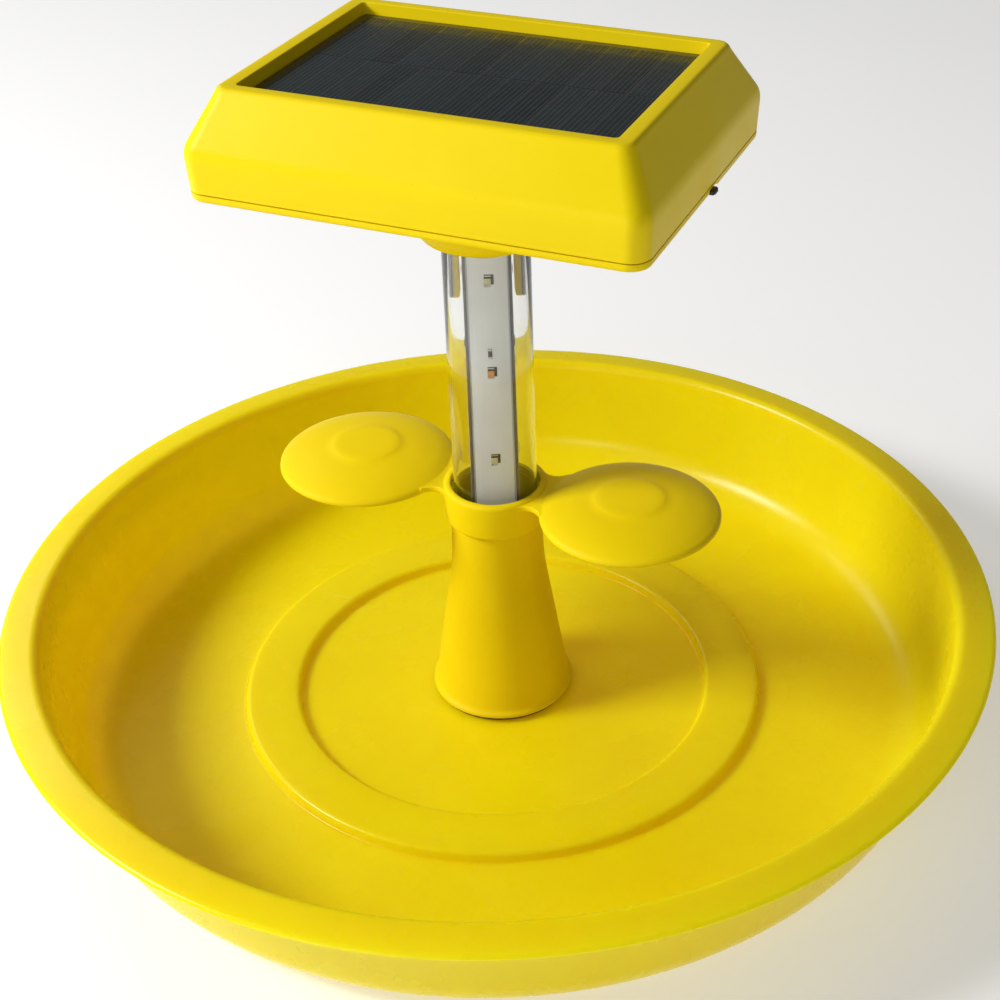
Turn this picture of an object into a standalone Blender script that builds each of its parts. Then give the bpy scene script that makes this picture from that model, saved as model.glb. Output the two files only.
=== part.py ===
"""Solar wasp trap: a yellow water basin with a stem, a winged lure collar, and a lift-out lamp under a solar head.

Run with: blender --background --python part.py
Sizes below are in millimetres and are turned into metres where the meshes are made. The underside of the
basin is at Z = 0, the stem's axis is the Z axis, and the head's long side lies along X.
"""

import math

import bmesh
import bpy
from mathutils import Matrix, Vector

MM = 0.001
GAP = 0.3  # clearance between two pieces that touch
MERGE = 0.002  # closes the seam and the poles of a turned shape

# Basin
BASIN_R = 160.0
BASIN_WALL = 2.4
BASIN_FLOOR = 2.5
FLOOR_CORNER_X = 128.0  # radius at which the floor starts to curve up
FLOOR_CORNER_R = 17.0  # outside radius of that curve
WALL_DRAFT = math.radians(10)
RIM_INNER_R = 149.0
RIM_INNER_Z = 43.7
RIM_OUTER_Z = 42.5
RIM_UNDER_Z = 40.5
RING_IN = 68.1  # the raised flat ring in the floor
RING_OUT = 86.5
RING_TOP = 5.5
GROOVE_INSET = 2.2  # the groove under the ring is this much narrower on each side
GROOVE_SLOPE = 1.2
FIXING_R = 13.0  # circle of the three stem screws
PILOT_R = 1.85  # hole for the shank of a stem screw or a cover screw

# Stem
FLANGE_R = 23.2
STEM_Z0 = 4.3
STEM_TOP = 80.6
CONE_BASE_R = 22.1
CONE_TOP_R = 15.4
CONE_TOP_Z = 50.0
NECK_R = 14.5
SOCKET_R = 13.5  # bore that holds the lamp tube
SHELF_Z = 60.0
SHELF_HOLE_R = 9.0
SHELF_THICK = 2.5
FOOT_TOP = 10.3
FOOT_HOLE_R = 7.0
STEM_WALL = 2.2

# Lure collar
COLLAR_Z0 = 70.3
COLLAR_TOP = 83.0
COLLAR_BORE = 15.0
COLLAR_LIP = 14.2
COLLAR_R = 16.6
WING_X = 45.4
WING_R = 28.2
WING_Z = 80.4  # underside of a wing's edge
WING_WALL = 1.8
WEB_FILLET = 5.0

# Lamp
TUBE_R = 13.2
TUBE_BORE = 12.0
TUBE_Z0 = 62.3
TUBE_TOP = 187.0
LAMP_TURN = math.radians(25)  # the light bar is turned this much about the axis
CORE_HALF = 5.9  # the square core that carries the four strips
BAR_Z0 = 66.0
BAR_TOP = 178.0
STRIP_WIDTH = 11.6
STRIP_THICK = 1.0
STRIP_FACE = 7.2  # distance of a strip's face from the axis
LED_HEIGHTS = (95.4, 125.9, 156.4)
RESISTOR_Z = 132.6
HOLDER_Z0 = 166.0
HOLDER_BORE = 8.0
HOLDER_TOP = 189.2
LEG_Z0 = 148.5
LEG_HALF_WIDTH = 2.2
SEAL_R = 14.4  # ring seal round the tube
SEAL_WIRE_R = 0.85
SEAL_CENTRE_Z = 174.5

# Head
HEAD_X = 67.9  # half sizes at the widest line
HEAD_Y = 51.5
HEAD_BELT_Z = 203.0
HEAD_TOP = 219.8
HEAD_CORNER = 6.0
HEAD_WALL = 2.2
SEAM_Z = 192.2
COVER_Z0 = 189.5
PANEL_X = 54.4
PANEL_Y = 36.8
PANEL_TOP = 216.4
PANEL_THICK = 2.0
BOSS_R = 20.3
BOSS_Z0 = 169.5
BOSS_FLANGE = 3.4
BOSS_TOP = 190.6
WIRE_HOLE_R = 10.0
POST_X = 54.0
POST_Y = 34.0
POST_R = 3.6
POST_Z0 = 193.8

# Inside the head
CELL_R = 9.2
CELL_LENGTH = 65.2
CELL_CENTRE = (-5.0, 22.0, 202.9)
BOARD_CENTRE = (0.0, -24.0, 195.6)
BOARD_SIZE = (56.0, 24.0, 1.6)
BOARD_PEG_X = 23.0
PEG_R = 3.0
PLUG_HEIGHT = 6.0
WIRE_START_Z = 202.8  # just above the plugs on the board
SWITCH_Y = 4.0
SWITCH_TRAVEL = 4.0

TURN_STEPS = 64
SMALL_STEPS = 20


def material(name, colour, roughness, metallic=0.0, alpha=1.0):
    made = bpy.data.materials.new(name)
    made.use_nodes = True
    shader = made.node_tree.nodes["Principled BSDF"]
    shader.inputs["Base Color"].default_value = (*colour, 1.0)
    shader.inputs["Roughness"].default_value = roughness
    shader.inputs["Metallic"].default_value = metallic
    shader.inputs["Alpha"].default_value = alpha
    made.diffuse_color = (*colour, alpha)
    return made


def arc(centre_r, centre_z, radius, start_deg, end_deg, count):
    """Points on a circular arc in the (radius, height) plane, both ends included."""
    angles = [math.radians(start_deg + (end_deg - start_deg) * i / (count - 1)) for i in range(count)]
    return [(centre_r + radius * math.cos(a), centre_z + radius * math.sin(a)) for a in angles]


def finish(name, bm, look, parent=None, helper=False):
    """Turns a bmesh in millimetres into a smooth-shaded object in metres."""
    bmesh.ops.scale(bm, vec=(MM, MM, MM), verts=bm.verts)
    bmesh.ops.recalc_face_normals(bm, faces=bm.faces)
    mesh = bpy.data.meshes.new(name)
    bm.to_mesh(mesh)
    bm.free()
    mesh.shade_smooth()
    mesh.set_sharp_from_angle(angle=math.radians(35))
    made = bpy.data.objects.new(name, mesh)
    bpy.context.scene.collection.objects.link(made)
    made.parent = parent
    if helper:
        made.hide_render = True
        made.display_type = "WIRE"
    else:
        mesh.materials.append(look)
    return made


def turned(name, outline, look=None, steps=TURN_STEPS, centre=(0, 0, 0), along_x=False, parent=None, helper=False):
    """A solid of revolution from a closed outline of (radius, height) points."""
    bm = bmesh.new()
    points = [bm.verts.new((r, 0.0, z)) for r, z in outline]
    pairs = list(zip(points, points[1:] + points[:1]))
    edges = [bm.edges.new(pair) for pair in pairs if pair[0].co.x > 0 or pair[1].co.x > 0]
    bmesh.ops.spin(bm, geom=points + edges, axis=(0, 0, 1), cent=(0, 0, 0), angle=math.tau, steps=steps)
    bmesh.ops.remove_doubles(bm, verts=bm.verts, dist=MERGE)
    if along_x:
        bmesh.ops.rotate(bm, verts=bm.verts, cent=(0, 0, 0), matrix=Matrix.Rotation(math.pi / 2, 3, "Y"))
    bmesh.ops.translate(bm, verts=bm.verts, vec=centre)
    return finish(name, bm, look, parent, helper)


def extruded(name, outline, z0, z1, look=None, parent=None, helper=False):
    """A prism standing on the plan outline, from height z0 to height z1."""
    bm = bmesh.new()
    face = bm.faces.new([bm.verts.new((x, y, z0)) for x, y in outline])
    grown = bmesh.ops.extrude_face_region(bm, geom=[face])["geom"]
    top = [item for item in grown if isinstance(item, bmesh.types.BMVert)]
    bmesh.ops.translate(bm, verts=top, vec=(0, 0, z1 - z0))
    return finish(name, bm, look, parent, helper)


def box(name, low, high, look=None, parent=None, helper=False, bevel=0.0):
    """A block between two corners, with its edges bevelled if asked."""
    bm = bmesh.new()
    size = Vector(high) - Vector(low)
    middle = (Vector(high) + Vector(low)) / 2
    bmesh.ops.create_cube(bm, size=1.0, matrix=Matrix.Translation(middle) @ Matrix.Diagonal((*size, 1.0)))
    if bevel:
        bmesh.ops.bevel(bm, geom=bm.edges[:], offset=bevel, segments=2, profile=0.5, affect="EDGES")
    return finish(name, bm, look, parent, helper)


def rounded_rectangle(half_x, half_y, corner, per_corner=6):
    """Plan points of a rectangle with rounded corners, anticlockwise."""
    points = []
    for sign_x, sign_y, start in ((1, 1, 0), (-1, 1, 90), (-1, -1, 180), (1, -1, 270)):
        for i in range(per_corner):
            a = math.radians(start + 90 * i / (per_corner - 1))
            x = sign_x * (half_x - corner) + corner * math.cos(a)
            y = sign_y * (half_y - corner) + corner * math.sin(a)
            points.append((x, y))
    return points


def lofted(name, sections, look, closed_ring):
    """Rounded rectangles (half_x, half_y, corner, z) joined in order, as a ring or with both ends capped."""
    bm = bmesh.new()
    loops = []
    for half_x, half_y, corner, z in sections:
        plan = rounded_rectangle(half_x, half_y, corner)
        loops.append([bm.verts.new((x, y, z)) for x, y in plan])
    pairs = list(zip(loops, loops[1:]))
    if closed_ring:
        pairs.append((loops[-1], loops[0]))
    for lower, upper in pairs:
        for i in range(len(lower)):
            j = (i + 1) % len(lower)
            bm.faces.new((lower[i], lower[j], upper[j], upper[i]))
    if not closed_ring:
        bm.faces.new(loops[0])
        bm.faces.new(loops[-1])
    return finish(name, bm, look)


def combine(target, other, operation):
    """Adds a Boolean that joins a helper to the target or cuts it away."""
    modifier = target.modifiers.new(f"{operation.lower()}_{other.name}", "BOOLEAN")
    modifier.operation = operation
    modifier.solver = "EXACT"
    modifier.object = other


def drill(target, name, radius, z0, z1, centre, steps=SMALL_STEPS):
    """Cuts a round hole along Z."""
    outline = [(0, z0), (radius, z0), (radius, z1), (0, z1)]
    combine(target, turned(name, outline, steps=steps, centre=centre, helper=True), "DIFFERENCE")


def fixing_points():
    """Centres of the three stem screws."""
    angles = [math.radians(90 + 120 * i) for i in range(3)]
    return [(FIXING_R * math.cos(a), FIXING_R * math.sin(a), 0) for a in angles]


def post_points():
    """Centres of the four cover screws."""
    return [(x, y, 0) for x in (-POST_X, POST_X) for y in (-POST_Y, POST_Y)]


def peg_points():
    """Centres of the two board screws."""
    return [(x, BOARD_CENTRE[1], 0) for x in (-BOARD_PEG_X, BOARD_PEG_X)]


def basin_outline():
    """Half section of the basin, from the axis along its underside, round the rim and back over the floor."""
    corner_z = FLOOR_CORNER_R
    lean = math.degrees(WALL_DRAFT)
    inner_r = FLOOR_CORNER_R - BASIN_WALL
    foot_r = FLOOR_CORNER_X + FLOOR_CORNER_R * math.cos(WALL_DRAFT)
    foot_z = corner_z - FLOOR_CORNER_R * math.sin(WALL_DRAFT)
    under_r = foot_r + (RIM_UNDER_Z - 1.0 - foot_z) * math.tan(WALL_DRAFT)
    groove_z = RING_TOP - BASIN_FLOOR
    inset = GROOVE_INSET + GROOVE_SLOPE
    under = [(0, 0), (RING_IN + GROOVE_INSET, 0), (RING_IN + inset, groove_z)]
    under += [(RING_OUT - inset, groove_z), (RING_OUT - GROOVE_INSET, 0)]
    under += arc(FLOOR_CORNER_X, corner_z, FLOOR_CORNER_R, -90, -lean, 5)
    rim = [(under_r, RIM_UNDER_Z - 1.0)]
    rim += [(BASIN_R - 0.9, RIM_UNDER_Z), (BASIN_R, RIM_UNDER_Z + 0.9)]
    rim += [(BASIN_R - 1.0, RIM_OUTER_Z), (RIM_INNER_R, RIM_INNER_Z), (RIM_INNER_R - 1.7, RIM_INNER_Z - 1.6)]
    floor = arc(FLOOR_CORNER_X, corner_z, inner_r, -lean, -90, 5)
    floor = [(r, z + (BASIN_FLOOR - BASIN_WALL) * (corner_z - z) / corner_z) for r, z in floor]
    ring = [(RING_OUT + 0.2, BASIN_FLOOR), (RING_OUT - 0.2, RING_TOP - 0.8), (RING_OUT - 1.2, RING_TOP)]
    ring += [(RING_IN + 1.2, RING_TOP), (RING_IN + 0.2, RING_TOP - 0.8), (RING_IN - 0.2, BASIN_FLOOR)]
    ring += [(0, BASIN_FLOOR)]
    return under + rim + floor + ring


def make_basin(look):
    basin = turned("basin", basin_outline(), look)
    for i, centre in enumerate(fixing_points(), 1):
        outline = [(0, -1), (PILOT_R + 2.8, -1), (PILOT_R, 1.8), (PILOT_R, 4), (0, 4)]
        cutter = turned(f"countersink_{i}", outline, steps=16, centre=centre, helper=True)
        combine(basin, cutter, "DIFFERENCE")


def stem_outer():
    """Outside of the stem from its foot flange up to the neck."""
    foot = [(FLANGE_R, STEM_Z0), (FLANGE_R, 5.4), (CONE_BASE_R, 6.3)]
    return foot + [(CONE_TOP_R, CONE_TOP_Z), (NECK_R + 0.4, 56.0), (NECK_R, 66.0), (NECK_R, STEM_TOP)]


def make_stem(look):
    under_shelf = SHELF_Z - SHELF_THICK
    bore = [(SOCKET_R, STEM_TOP), (SOCKET_R, SHELF_Z), (SHELF_HOLE_R, SHELF_Z), (SHELF_HOLE_R, under_shelf)]
    hollow = [(CONE_TOP_R - STEM_WALL - 0.6, under_shelf), (CONE_TOP_R - STEM_WALL, CONE_TOP_Z - 1.0)]
    foot = [(CONE_BASE_R - STEM_WALL - 0.7, FOOT_TOP), (FOOT_HOLE_R, FOOT_TOP), (FOOT_HOLE_R, STEM_Z0)]
    stem = turned("stem", stem_outer() + bore + hollow + foot, look, steps=36)
    for i, centre in enumerate(fixing_points(), 1):
        drill(stem, f"stem_pilot_{i}", PILOT_R, STEM_Z0 - 1, FOOT_TOP - 1.0, centre, steps=12)


def make_stem_gasket(look):
    outline = [(8.0, 2.8), (22.0, 2.8), (22.0, 4.0), (8.0, 4.0)]
    gasket = turned("stem_gasket", outline, look, steps=36)
    for i, centre in enumerate(fixing_points(), 1):
        drill(gasket, f"gasket_hole_{i}", 2.0, 2, 5, centre, steps=12)


def make_stem_screws(look):
    for i, centre in enumerate(fixing_points(), 1):
        outline = [(0, 0.2), (2.9, 0.2), (1.5, 1.6), (1.5, 7.8), (0.7, 8.8), (0, 8.8)]
        turned(f"stem_screw_{i}", outline, look, steps=12, centre=centre)


def wing_outline():
    """Half section of one domed wing, with the peg for its lure in the middle of the underside."""
    edge = WING_Z + WING_WALL
    top = [(WING_R, WING_Z), (WING_R, WING_Z + 0.9), (WING_R - 0.6, edge)]
    dome = [(24.0, 83.9), (18.0, 85.6), (11.6, 86.6), (10.2, 87.5), (0, 87.5)]
    peg = [(0, 77.0), (3.0, 77.0), (3.0, 85.2)]
    under = [(10.5, 85.0), (18.0, 83.8), (24.0, 82.1), (WING_R - 1.6, WING_Z)]
    return peg + under + top + dome


def web_outline(side):
    """Plan of the web from the collar to a wing, with a fillet of WEB_FILLET on each flank."""
    to_ring = COLLAR_R + WEB_FILLET
    to_wing = WING_R + WEB_FILLET
    x = (to_ring**2 - to_wing**2 + WING_X**2) / (2 * WING_X)
    y = math.sqrt(to_ring**2 - x**2)
    start = math.degrees(math.atan2(-y, -x))
    end = math.degrees(math.atan2(-y, WING_X - x))
    flank = arc(x, y, WEB_FILLET, start, end, 5)
    half_angle = math.degrees(math.atan2(y, x))
    inner = arc(0, 0, COLLAR_R - 0.7, -half_angle, half_angle, 5)
    wing_angle = math.degrees(math.atan2(y, WING_X - x))
    outer = arc(WING_X, 0, WING_R - 2.0, 180 + wing_angle, 180 - wing_angle, 5)
    plan = inner + flank + outer[::-1] + [(px, -py) for px, py in flank[::-1]]
    return [(side * px, py) for px, py in plan]


def make_collar(look):
    outline = [(COLLAR_BORE, COLLAR_Z0), (15.5, COLLAR_Z0), (16.0, COLLAR_Z0 + 0.6), (COLLAR_R, 82.3)]
    outline += [(COLLAR_R - 0.7, COLLAR_TOP), (COLLAR_LIP, COLLAR_TOP), (COLLAR_LIP, 81.0), (COLLAR_BORE, 81.0)]
    collar = turned("lure_collar", outline, look, steps=40)
    for side, word in ((-1, "left"), (1, "right")):
        centre = (side * WING_X, 0, 0)
        web = extruded(f"web_{word}", web_outline(side), WING_Z, COLLAR_TOP - 0.7, helper=True)
        wing = turned(f"wing_{word}", wing_outline(), steps=36, centre=centre, helper=True)
        combine(collar, web, "UNION")
        combine(collar, wing, "UNION")


def make_lures(look):
    outline = [(0, 68.0), (5.0, 68.0), (5.6, 68.8), (5.0, 80.6), (6.4, 81.2), (6.4, 83.4), (5.6, 84.6)]
    outline += [(3.3, 84.6), (3.3, 76.4), (0, 76.4)]
    for side, word in ((-1, "left"), (1, "right")):
        turned(f"lure_plug_{word}", outline, look, steps=16, centre=(side * WING_X, 0, 0))


def make_tube(clear, rubber, cap_look):
    tube = [(TUBE_BORE, TUBE_Z0), (TUBE_R, TUBE_Z0), (TUBE_R, TUBE_TOP), (TUBE_BORE, TUBE_TOP)]
    turned("clear_tube", tube, clear, steps=36)
    plug_r = TUBE_BORE - GAP
    cap = [(0, 60.3), (TUBE_R, 60.3), (TUBE_R, TUBE_Z0 - GAP), (plug_r, TUBE_Z0 - GAP)]
    cap += [(plug_r, BAR_Z0 - GAP), (0, BAR_Z0 - GAP)]
    turned("tube_end_cap", cap, cap_look, steps=24)
    turned("tube_seal", arc(SEAL_R, SEAL_CENTRE_Z, SEAL_WIRE_R, 0, 300, 6), rubber, steps=24)


def make_light_bar(turn, core_look, board_look):
    half = CORE_HALF
    box("light_bar_core", (-half, -half, BAR_Z0), (half, half, BAR_TOP), core_look, turn, bevel=0.3)
    for i, word in enumerate(("front", "right", "back", "left")):
        make_strip(f"led_strip_{word}", i * math.pi / 2, turn, board_look)


def make_strip(name, angle, turn, look):
    """A long circuit board with three light chips and a resistor, facing -Y before it is turned by angle."""
    face = -STRIP_FACE
    half = STRIP_WIDTH / 2
    strip = box(name, (-half, face, BAR_Z0 + 1), (half, face + STRIP_THICK, BAR_TOP - 1), look, turn)
    strip.rotation_euler.z = angle
    chips = [(z, 1.4, 1.75, 0.8) for z in LED_HEIGHTS] + [(RESISTOR_Z, 0.8, 1.6, 0.6)]
    for i, (z, half_x, half_z, height) in enumerate(chips, 1):
        low = (-half_x, face - height, z - half_z)
        high = (half_x, face + 0.5, z + half_z)
        chip = box(f"{name}_chip_{i}", low, high, parent=turn, helper=True)
        chip.rotation_euler.z = angle
        combine(strip, chip, "UNION")


def make_lamp_holder(turn, look):
    """The plug in the top of the tube: a ring round the bar, a flange on the tube's end and two legs."""
    plug_r = TUBE_BORE - GAP
    ring = [(HOLDER_BORE, HOLDER_Z0), (plug_r, HOLDER_Z0), (plug_r, TUBE_TOP + GAP), (TUBE_R, TUBE_TOP + GAP)]
    ring += [(TUBE_R, HOLDER_TOP), (HOLDER_BORE, HOLDER_TOP)]
    holder = turned("lamp_holder", ring, look, steps=24, parent=turn)
    inside = STRIP_FACE + GAP
    for side, word in ((-1, "left"), (1, "right")):
        near, far = sorted((side * (inside + 0.9), side * (plug_r - 0.5)))
        low = (near, -LEG_HALF_WIDTH, LEG_Z0)
        high = (far, LEG_HALF_WIDTH, HOLDER_Z0 + 4)
        combine(holder, box(f"leg_{word}", low, high, parent=turn, helper=True), "UNION")
    low = (-inside, -inside, HOLDER_Z0 - 1)
    high = (inside, inside, BAR_TOP + 1)
    combine(holder, box("bar_socket", low, high, parent=turn, helper=True), "DIFFERENCE")


def make_head_shell(look):
    """The yellow housing: outside up to the top face, down into the panel recess, and back down the inner wall."""
    x, y = HEAD_X, HEAD_Y
    wall = HEAD_WALL
    corner = HEAD_CORNER
    outside = [(x - 0.6, y - 0.6, corner, SEAM_Z), (x, y, corner, HEAD_BELT_Z)]
    outside += [(x - 0.4, y - 0.4, corner - 0.2, HEAD_BELT_Z + 1.4)]
    top = [(x - 6.6, y - 8.4, 4.6, 217.0), (x - 7.2, y - 9.1, 4.4, 218.7), (x - 8.6, y - 10.6, 3.6, HEAD_TOP)]
    recess = [(PANEL_X + 0.8, PANEL_Y + 0.8, 1.5, HEAD_TOP), (PANEL_X + 0.5, PANEL_Y + 0.5, 1.2, HEAD_TOP - 0.3)]
    ledge_z = PANEL_TOP - PANEL_THICK - GAP
    ledge = [(PANEL_X + 0.5, PANEL_Y + 0.5, 1.2, ledge_z), (PANEL_X - 4, PANEL_Y - 4, 1.2, ledge_z)]
    ledge += [(PANEL_X - 4, PANEL_Y - 4, 1.2, ledge_z - 1.5)]
    inner_top = [(x - 8.7, y - 10.3, 3.4, ledge_z - 1.5)]
    inner = [(x - wall, y - wall, 4.0, HEAD_BELT_Z), (x - 0.6 - wall, y - 0.6 - wall, 4.0, SEAM_Z)]
    shell = lofted("head_shell", outside + top + recess + ledge + inner_top + inner, look, closed_ring=True)
    for i, centre in enumerate(post_points(), 1):
        height = [(0, POST_Z0), (POST_R, POST_Z0), (POST_R, ledge_z - 0.9), (0, ledge_z - 0.9)]
        combine(shell, turned(f"post_{i}", height, steps=16, centre=centre, helper=True), "UNION")
        drill(shell, f"post_pilot_{i}", PILOT_R, POST_Z0 - 0.8, POST_Z0 + 10.2, centre, steps=12)


def make_panel(look):
    ledge_z = PANEL_TOP - PANEL_THICK
    sections = [(PANEL_X, PANEL_Y, 0.8, ledge_z), (PANEL_X, PANEL_Y, 0.8, PANEL_TOP - 0.3)]
    sections += [(PANEL_X - 0.3, PANEL_Y - 0.3, 0.6, PANEL_TOP)]
    lofted("solar_panel", sections, look, closed_ring=False)


def make_head_seal(look):
    """Square-section rubber ring between the shell and the cover, round the inside of the seam."""
    x, y = HEAD_X - 0.6 - HEAD_WALL - GAP, HEAD_Y - 0.6 - HEAD_WALL - GAP
    low, high = SEAM_Z, SEAM_Z + 1.3
    sections = [(x - 1.6, y - 1.6, 2.2, low), (x, y, 3.7, low), (x, y, 3.7, high), (x - 1.6, y - 1.6, 2.2, high)]
    lofted("head_seal", sections, look, closed_ring=True)


def make_bottom_cover(look):
    """The plate that closes the head, with the round boss that holds the tube and the pegs for the board."""
    x, y = HEAD_X - 0.6, HEAD_Y - 0.6
    top = SEAM_Z - GAP
    corner = HEAD_CORNER
    sections = [(x - 1.1, y - 1.1, corner - 1.0, COVER_Z0), (x - 0.3, y - 0.3, corner - 0.2, COVER_Z0 + 0.35)]
    sections += [(x, y, corner, COVER_Z0 + 1.1), (x, y, corner, top)]
    cover = lofted("bottom_cover", sections, look, closed_ring=False)
    boss = [(0, BOSS_Z0), (BOSS_R - 1.6, BOSS_Z0), (BOSS_R - 0.5, BOSS_Z0 + 0.5), (BOSS_R, BOSS_Z0 + 1.6)]
    boss += [(BOSS_R + 1.4, COVER_Z0 - 2.0), (BOSS_R + 2.2, COVER_Z0 - 0.5), (BOSS_R + BOSS_FLANGE, COVER_Z0 + 0.2)]
    boss += [(BOSS_R + BOSS_FLANGE, BOSS_TOP), (0, BOSS_TOP)]
    combine(cover, turned("boss", boss, steps=36, helper=True), "UNION")
    peg_top = BOARD_CENTRE[2] - BOARD_SIZE[2] / 2 - GAP
    for i, centre in enumerate(peg_points(), 1):
        height = [(0, BOSS_TOP), (PEG_R, BOSS_TOP), (PEG_R, peg_top), (0, peg_top)]
        combine(cover, turned(f"peg_{i}", height, steps=16, centre=centre, helper=True), "UNION")
        drill(cover, f"peg_pilot_{i}", 1.3, COVER_Z0 + 1.5, peg_top + 1.5, centre, steps=12)
    cut_boss_bore(cover)
    for i, centre in enumerate(post_points(), 1):
        head_z = COVER_Z0 + 1.2
        hole = [(0, COVER_Z0 - 1), (3.4, COVER_Z0 - 1), (3.4, head_z), (1.9, head_z), (1.9, top + 1), (0, top + 1)]
        combine(cover, turned(f"cover_hole_{i}", hole, steps=12, centre=centre, helper=True), "DIFFERENCE")
    cut_switch_channel(cover)


def cut_boss_bore(cover):
    """The bore for the tube with the groove for its seal, and above it the hole for the lamp's lead."""
    bore_r = TUBE_R + 0.4
    groove_r = bore_r + 2.0
    low, high = SEAL_CENTRE_Z - 1.2, SEAL_CENTRE_Z + 1.2
    bore = [(0, BOSS_Z0 - 1), (bore_r, BOSS_Z0 - 1), (bore_r, low), (groove_r, low), (groove_r, high), (bore_r, high)]
    bore += [(bore_r, COVER_Z0), (WIRE_HOLE_R, COVER_Z0), (WIRE_HOLE_R, SEAM_Z + 1), (0, SEAM_Z + 1)]
    combine(cover, turned("boss_bore", bore, steps=36, helper=True), "DIFFERENCE")


def cut_switch_channel(cover):
    """The channel in the cover's underside for the slider, open at the end, with a slot for its neck."""
    y0 = SWITCH_Y - 2.4
    y1 = SWITCH_Y + SWITCH_TRAVEL + 2.4
    channel = box("slider_channel", (58.0, y0, COVER_Z0 - 1), (72.0, y1, COVER_Z0 + 1.8), helper=True)
    combine(cover, channel, "DIFFERENCE")
    slot_low = (58.4, SWITCH_Y - 1.5, COVER_Z0 + 1)
    slot_high = (61.6, SWITCH_Y + SWITCH_TRAVEL + 1.5, SEAM_Z + 1)
    combine(cover, box("slider_slot", slot_low, slot_high, helper=True), "DIFFERENCE")


def make_switch(body_look, knob_look, pivot):
    """A slide switch on the cover and its slider, whose tip reaches past the end of the head."""
    z0 = SEAM_Z
    body = box("switch_body", (56.4, -1.0, z0), (62.4, 13.0, z0 + 5.2), body_look)
    slot_low = (58.6, SWITCH_Y - 1.5, z0 - 1)
    slot_high = (61.4, SWITCH_Y + SWITCH_TRAVEL + 1.5, z0 + 2.4)
    combine(body, box("switch_slot", slot_low, slot_high, helper=True), "DIFFERENCE")
    # The slider's parent stands at its own middle, so the piece moves along Y from there.
    low = Vector((59.0, -1.9, COVER_Z0 + 0.2))
    high = Vector((68.6, 1.9, COVER_Z0 + 1.5))
    origin = Vector((0, 0, pivot.location.z / MM))
    slider = box("switch_slider", low - origin, high - origin, knob_look, pivot, bevel=0.25)
    neck_low = Vector((59.2, -1.0, COVER_Z0 + 1.0)) - origin
    neck_high = Vector((60.8, 1.0, SEAM_Z + 1.8)) - origin
    combine(slider, box("slider_neck", neck_low, neck_high, parent=pivot, helper=True), "UNION")


def make_cover_screws(look):
    for i, centre in enumerate(post_points(), 1):
        head = [(0, COVER_Z0 - 0.5), (3.0, COVER_Z0 - 0.5), (3.0, COVER_Z0 + 0.8), (1.5, COVER_Z0 + 0.8)]
        outline = head + [(1.5, COVER_Z0 + 11.0), (0.7, COVER_Z0 + 12.0), (0, COVER_Z0 + 12.0)]
        turned(f"cover_screw_{i}", outline, look, steps=12, centre=centre)


def make_battery(cell_look, holder_look):
    """A round cell lying along X in an open tray that stands on the cover."""
    x, y, z = CELL_CENTRE
    half = CELL_LENGTH / 2
    cell = [(0, -half), (CELL_R - 0.5, -half), (CELL_R, -half + 0.5), (CELL_R, half - 2.4)]
    cell += [(CELL_R - 0.5, half - 1.9), (3.2, half - 1.9), (3.2, half), (0, half)]
    turned("battery_cell", cell, cell_look, steps=SMALL_STEPS, centre=CELL_CENTRE, along_x=True)
    tray_half = half + 2.3
    tray = box("battery_tray", (x - tray_half, y - 11, SEAM_Z), (x + tray_half, y + 11, z - 1.5), holder_look)
    room_half = half + 0.5
    room_r = CELL_R + GAP
    room = [(0, -room_half), (room_r, -room_half), (room_r, room_half), (0, room_half)]
    cutter = turned("cell_room", room, steps=SMALL_STEPS, centre=CELL_CENTRE, along_x=True, helper=True)
    combine(tray, cutter, "DIFFERENCE")


def make_board(board_look, screw_look):
    """The charging board with its chip, coil and two plugs, screwed to the pegs of the cover."""
    x, y, z = BOARD_CENTRE
    centre = Vector(BOARD_CENTRE)
    half = Vector(BOARD_SIZE) / 2
    board = box("control_board", centre - half, centre + half, board_look)
    top = z + half.z
    parts = {
        "chip": ((4, y - 4, top - 0.5), (12, y + 2, top + 1.6)),
        "battery_plug": ((-17, y + 4, top - 0.5), (-8, y + 10, top + PLUG_HEIGHT)),
        "lamp_plug": ((8, y + 4.5, top - 0.5), (16, y + 10.5, top + PLUG_HEIGHT)),
        "panel_plug": ((-5, y - 10.5, top - 0.5), (3, y - 4.5, top + PLUG_HEIGHT)),
    }
    for name, (low, high) in parts.items():
        combine(board, box(name, low, high, helper=True), "UNION")
    coil = [(0, top - 0.5), (4, top - 0.5), (4, top + 4), (0, top + 4)]
    combine(board, turned("coil", coil, steps=16, centre=(-12, y - 4, 0), helper=True), "UNION")
    for i, peg in enumerate(peg_points(), 1):
        drill(board, f"board_hole_{i}", 1.3, top - 4, top + 2, peg, steps=12)
        screw = [(0, 192.0), (1.0, 192.0), (1.0, top + GAP), (2.2, top + GAP), (2.2, top + 1.4), (0, top + 1.8)]
        turned(f"board_screw_{i}", screw, screw_look, steps=12, centre=peg)


def smooth_route(points, per_span=4):
    """Points on a Catmull-Rom curve through the route's own points."""
    ends = [2 * points[0] - points[1]] + points + [2 * points[-1] - points[-2]]
    route = []
    for a, b, c, d in zip(ends, ends[1:], ends[2:], ends[3:]):
        for i in range(per_span):
            t = i / per_span
            square = 2 * a - 5 * b + 4 * c - d
            cube = 3 * b - a - 3 * c + d
            route.append(0.5 * (2 * b + (c - a) * t + square * t**2 + cube * t**3))
    return route + [points[-1]]


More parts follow.
